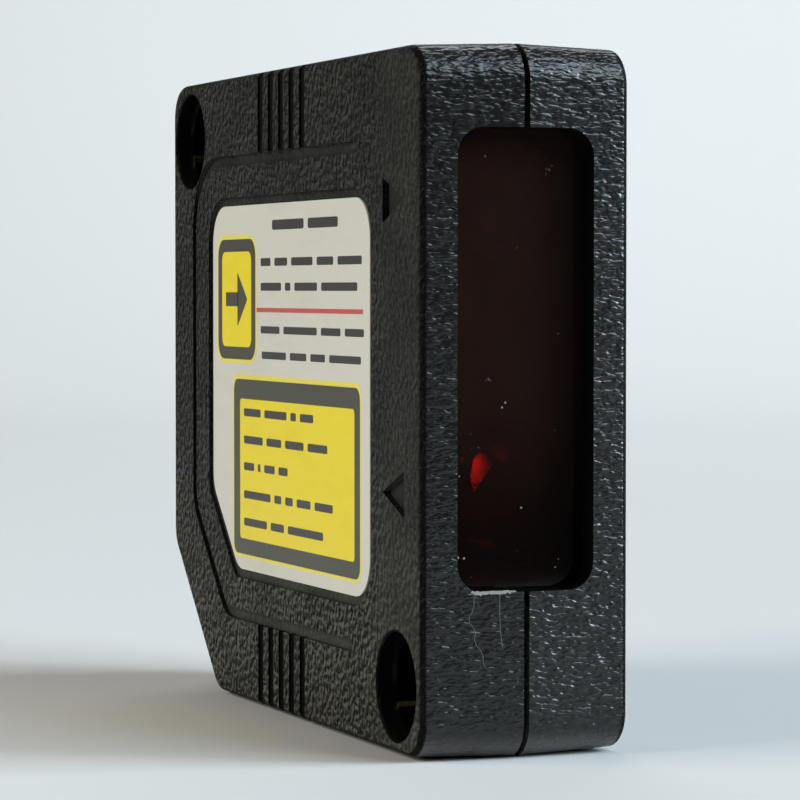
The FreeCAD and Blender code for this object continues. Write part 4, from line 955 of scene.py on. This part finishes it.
def add_lamp(name, place, target, size, power, tone):
    """A square soft lamp that faces a target."""
    data = bpy.data.lights.new(name, "AREA")
    data.shape = "SQUARE"
    data.size = size
    data.energy = power
    data.color = tone
    lamp = bpy.data.objects.new(name, data)
    lamp.location = place
    lamp.rotation_euler = (target - place).to_track_quat("-Z", "Y").to_euler()
    bpy.context.scene.collection.objects.link(lamp)


def add_camera(look):
    """The camera at the photograph's place, looking level but for a small dip."""
    data = bpy.data.cameras.new("camera")
    data.sensor_width = 36.0
    data.lens = look.focal
    data.clip_start = 0.01
    data.clip_end = 10.0
    camera = bpy.data.objects.new("camera", data)
    ahead = Vector((math.sin(look.yaw) * math.cos(look.dip), math.cos(look.yaw) * math.cos(look.dip),
                    -math.sin(look.dip)))
    camera.location = Vector(look.eye) + Vector((0, CAD_BOX[0].y, 0))
    camera.rotation_euler = ahead.to_track_quat("-Z", "Y").to_euler()
    bpy.context.scene.collection.objects.link(camera)
    bpy.context.scene.camera = camera


# Operators
class SENSOR_OT_housing(bpy.types.Operator):
    """Give both shells their moulded plastic"""

    bl_idname = "laser_sensor.housing"
    bl_label = "Housing shells"

    def execute(self, context):
        plastic = Moulding(context.scene.sensor_housing).both()
        for node in ("left_shell", "right_shell"):
            dress(node, plastic)
        return {"FINISHED"}


class SENSOR_OT_window(bpy.types.Operator):
    """Give the window its dark filter and the gasket its rubber"""

    bl_idname = "laser_sensor.window"
    bl_label = "Front window"

    def execute(self, context):
        dress("front_window", window_filter(context.scene.sensor_window))
        dress("window_gasket", soft_rubber("gasket_rubber", (0.02, 0.02, 0.02)))
        return {"FINISHED"}


class SENSOR_OT_label(bpy.types.Operator):
    """Make the printed label on the left side"""

    bl_idname = "laser_sensor.label"
    bl_label = "Side label"

    def execute(self, context):
        build_label(context.scene.sensor_label)
        return {"FINISHED"}


class SENSOR_OT_optics(bpy.types.Operator):
    """Give the optics behind the window their finishes, and make the stakes"""

    bl_idname = "laser_sensor.optics"
    bl_label = "Optics"

    def execute(self, context):
        glass = clear_glass()
        matte = plain_moulding("frame_moulding", (0.02, 0.02, 0.021), 0.6)
        for node in ("collimator_lens", "receiver_lens"):
            dress(node, glass)
        for node in ("optics_frame", "collimator_ring", "receiver_ring"):
            dress(node, matte)
        dress("laser_barrel", turned_metal("barrel_brass", (0.14, 0.10, 0.05), 1, 0.4))
        dress("laser_diode", turned_metal("diode_can", (0.72, 0.66, 0.5), 1, 0.3))
        build_stakes()
        return {"FINISHED"}


class SENSOR_OT_electronics(bpy.types.Operator):
    """Give the boards and what they carry their finishes"""

    bl_idname = "laser_sensor.electronics"
    bl_label = "Boards and packages"

    def execute(self, context):
        mask = solder_mask()
        for node in ("main_board", "laser_board", "detector_board"):
            dress(node, mask)
        for node in ("processor_chip", "amplifier_chip", "regulator_chip", "photodiode"):
            dress(node, chip_case(node))
        for node in ("capacitor_1", "capacitor_2"):
            dress(node, capacitor_can(node))
        dress("board_screws", turned_metal("screw_steel", (0.62, 0.61, 0.58), 0, 0.32))
        dress("power_led", lit_plastic("power_led_plastic", (0.25, 0.75, 0.3), 0.15, 0.5))
        dress("output_led", lit_plastic("output_led_plastic", (0.9, 0.6, 0.08), 0.15, 0.5))
        dress("gain_trimmer", plain_moulding("trimmer_case", (0.03, 0.13, 0.5), 0.35))
        return {"FINISHED"}


class SENSOR_OT_fittings(bpy.types.Operator):
    """Give the sleeves, gain screw, indicator and cable inlet their finishes"""

    bl_idname = "laser_sensor.fittings"
    bl_label = "Sleeves and back fittings"

    def execute(self, context):
        brass = sleeve_metal(context.scene.sensor_fittings)
        for node in ("lower_sleeve", "upper_sleeve"):
            dress(node, brass)
        dress("gain_screw", turned_metal("gain_brass", (0.76, 0.57, 0.28), 1))
        rubber = soft_rubber("seal_rubber", (0.018, 0.018, 0.018))
        for node in ("gain_seal", "inlet_seal"):
            dress(node, rubber)
        dress("indicator_lens", lit_plastic("indicator_plastic", (0.78, 0.84, 0.8), 0.2, 0.75))
        build_inlet(context.scene.sensor_inlet)
        dress("contact_carrier", plain_moulding("carrier_moulding", (0.018, 0.018, 0.018), 0.5))
        dress("contact_pins", turned_metal("pin_gold", (0.9, 0.68, 0.28), 0, 0.18))
        return {"FINISHED"}


class SENSOR_OT_dust(bpy.types.Operator):
    """Scatter the dust and lint that the sensor has gathered"""

    bl_idname = "laser_sensor.dust"
    bl_label = "Dust and lint"

    def execute(self, context):
        scene = context.scene
        build_dust(scene.sensor_dust, scene.sensor_housing.lean, scene.sensor_window.overlap)
        return {"FINISHED"}


class SENSOR_OT_stage(bpy.types.Operator):
    """Set up the floor, lamps, world and camera"""

    bl_idname = "laser_sensor.stage"
    bl_label = "Studio"

    def execute(self, context):
        look = context.scene.sensor_stage
        context.scene.view_settings.view_transform = "Standard"
        build_floor(look)
        build_world(look)
        # Name, place, target, size, power in watts and colour
        lamps = (
            ("window_light", (1.26, -0.56, 0.54), (0.0, -0.02, 0.03), 0.66, 31.5, (0.74, 0.89, 1.0)),
            ("sky_light", (0.60, -0.73, 0.99), (0.0, -0.01, 0.03), 0.72, 10.4, (0.74, 0.89, 1.0)),
            ("side_light", (-0.47, 0.036, 0.27), (0.0, 0.0, 0.02), 0.36, 2.12, (1.0, 0.97, 0.90)),
            ("back_light", (0.18, 0.47, 0.50), (0.22, 0.58, 0.0), 0.30, 0.9, (1.0, 0.99, 0.97)),
        )
        for name, place, target, size, power, tone in lamps:
            add_lamp(name, Vector(place), Vector(target), size, power, tone)
        add_camera(look)
        return {"FINISHED"}


# Panel and registration
class SENSOR_PT_panel(bpy.types.Panel):
    """Lists the sensor's steps and what each can change"""

    bl_idname = "SENSOR_PT_panel"
    bl_label = "Laser Sensor"
    bl_space_type = "VIEW_3D"
    bl_region_type = "UI"
    bl_category = "Laser Sensor"

    def draw(self, context):
        layout = self.layout
        for operator in OPERATORS:
            layout.operator(operator.bl_idname)
        for group in LOOKS:
            box = layout.box()
            settings = getattr(context.scene, group)
            for name in settings.bl_rna.properties.keys():
                if name not in ("rna_type", "name"):
                    box.prop(settings, name)


LOOKS = {"sensor_housing": HousingLook, "sensor_window": WindowLook, "sensor_label": LabelLook,
         "sensor_fittings": FittingsLook, "sensor_inlet": InletLook,
         "sensor_dust": DustLook, "sensor_stage": StageLook}
OPERATORS = (SENSOR_OT_stage, SENSOR_OT_housing, SENSOR_OT_window, SENSOR_OT_label, SENSOR_OT_optics,
             SENSOR_OT_electronics, SENSOR_OT_fittings, SENSOR_OT_dust)
CLASSES = (*LOOKS.values(), *OPERATORS, SENSOR_PT_panel)


def register():
    for item in CLASSES:
        bpy.utils.register_class(item)
    for name, group in LOOKS.items():
        setattr(bpy.types.Scene, name, PointerProperty(type=group))


def unregister():
    for name in LOOKS:
        delattr(bpy.types.Scene, name)
    for item in reversed(CLASSES):
        bpy.utils.unregister_class(item)


def main():
    register()
    for operator in OPERATORS:
        step = operator.bl_idname.split(".")[1]
        getattr(bpy.ops.laser_sensor, step)()


if __name__ == "__main__":
    main()
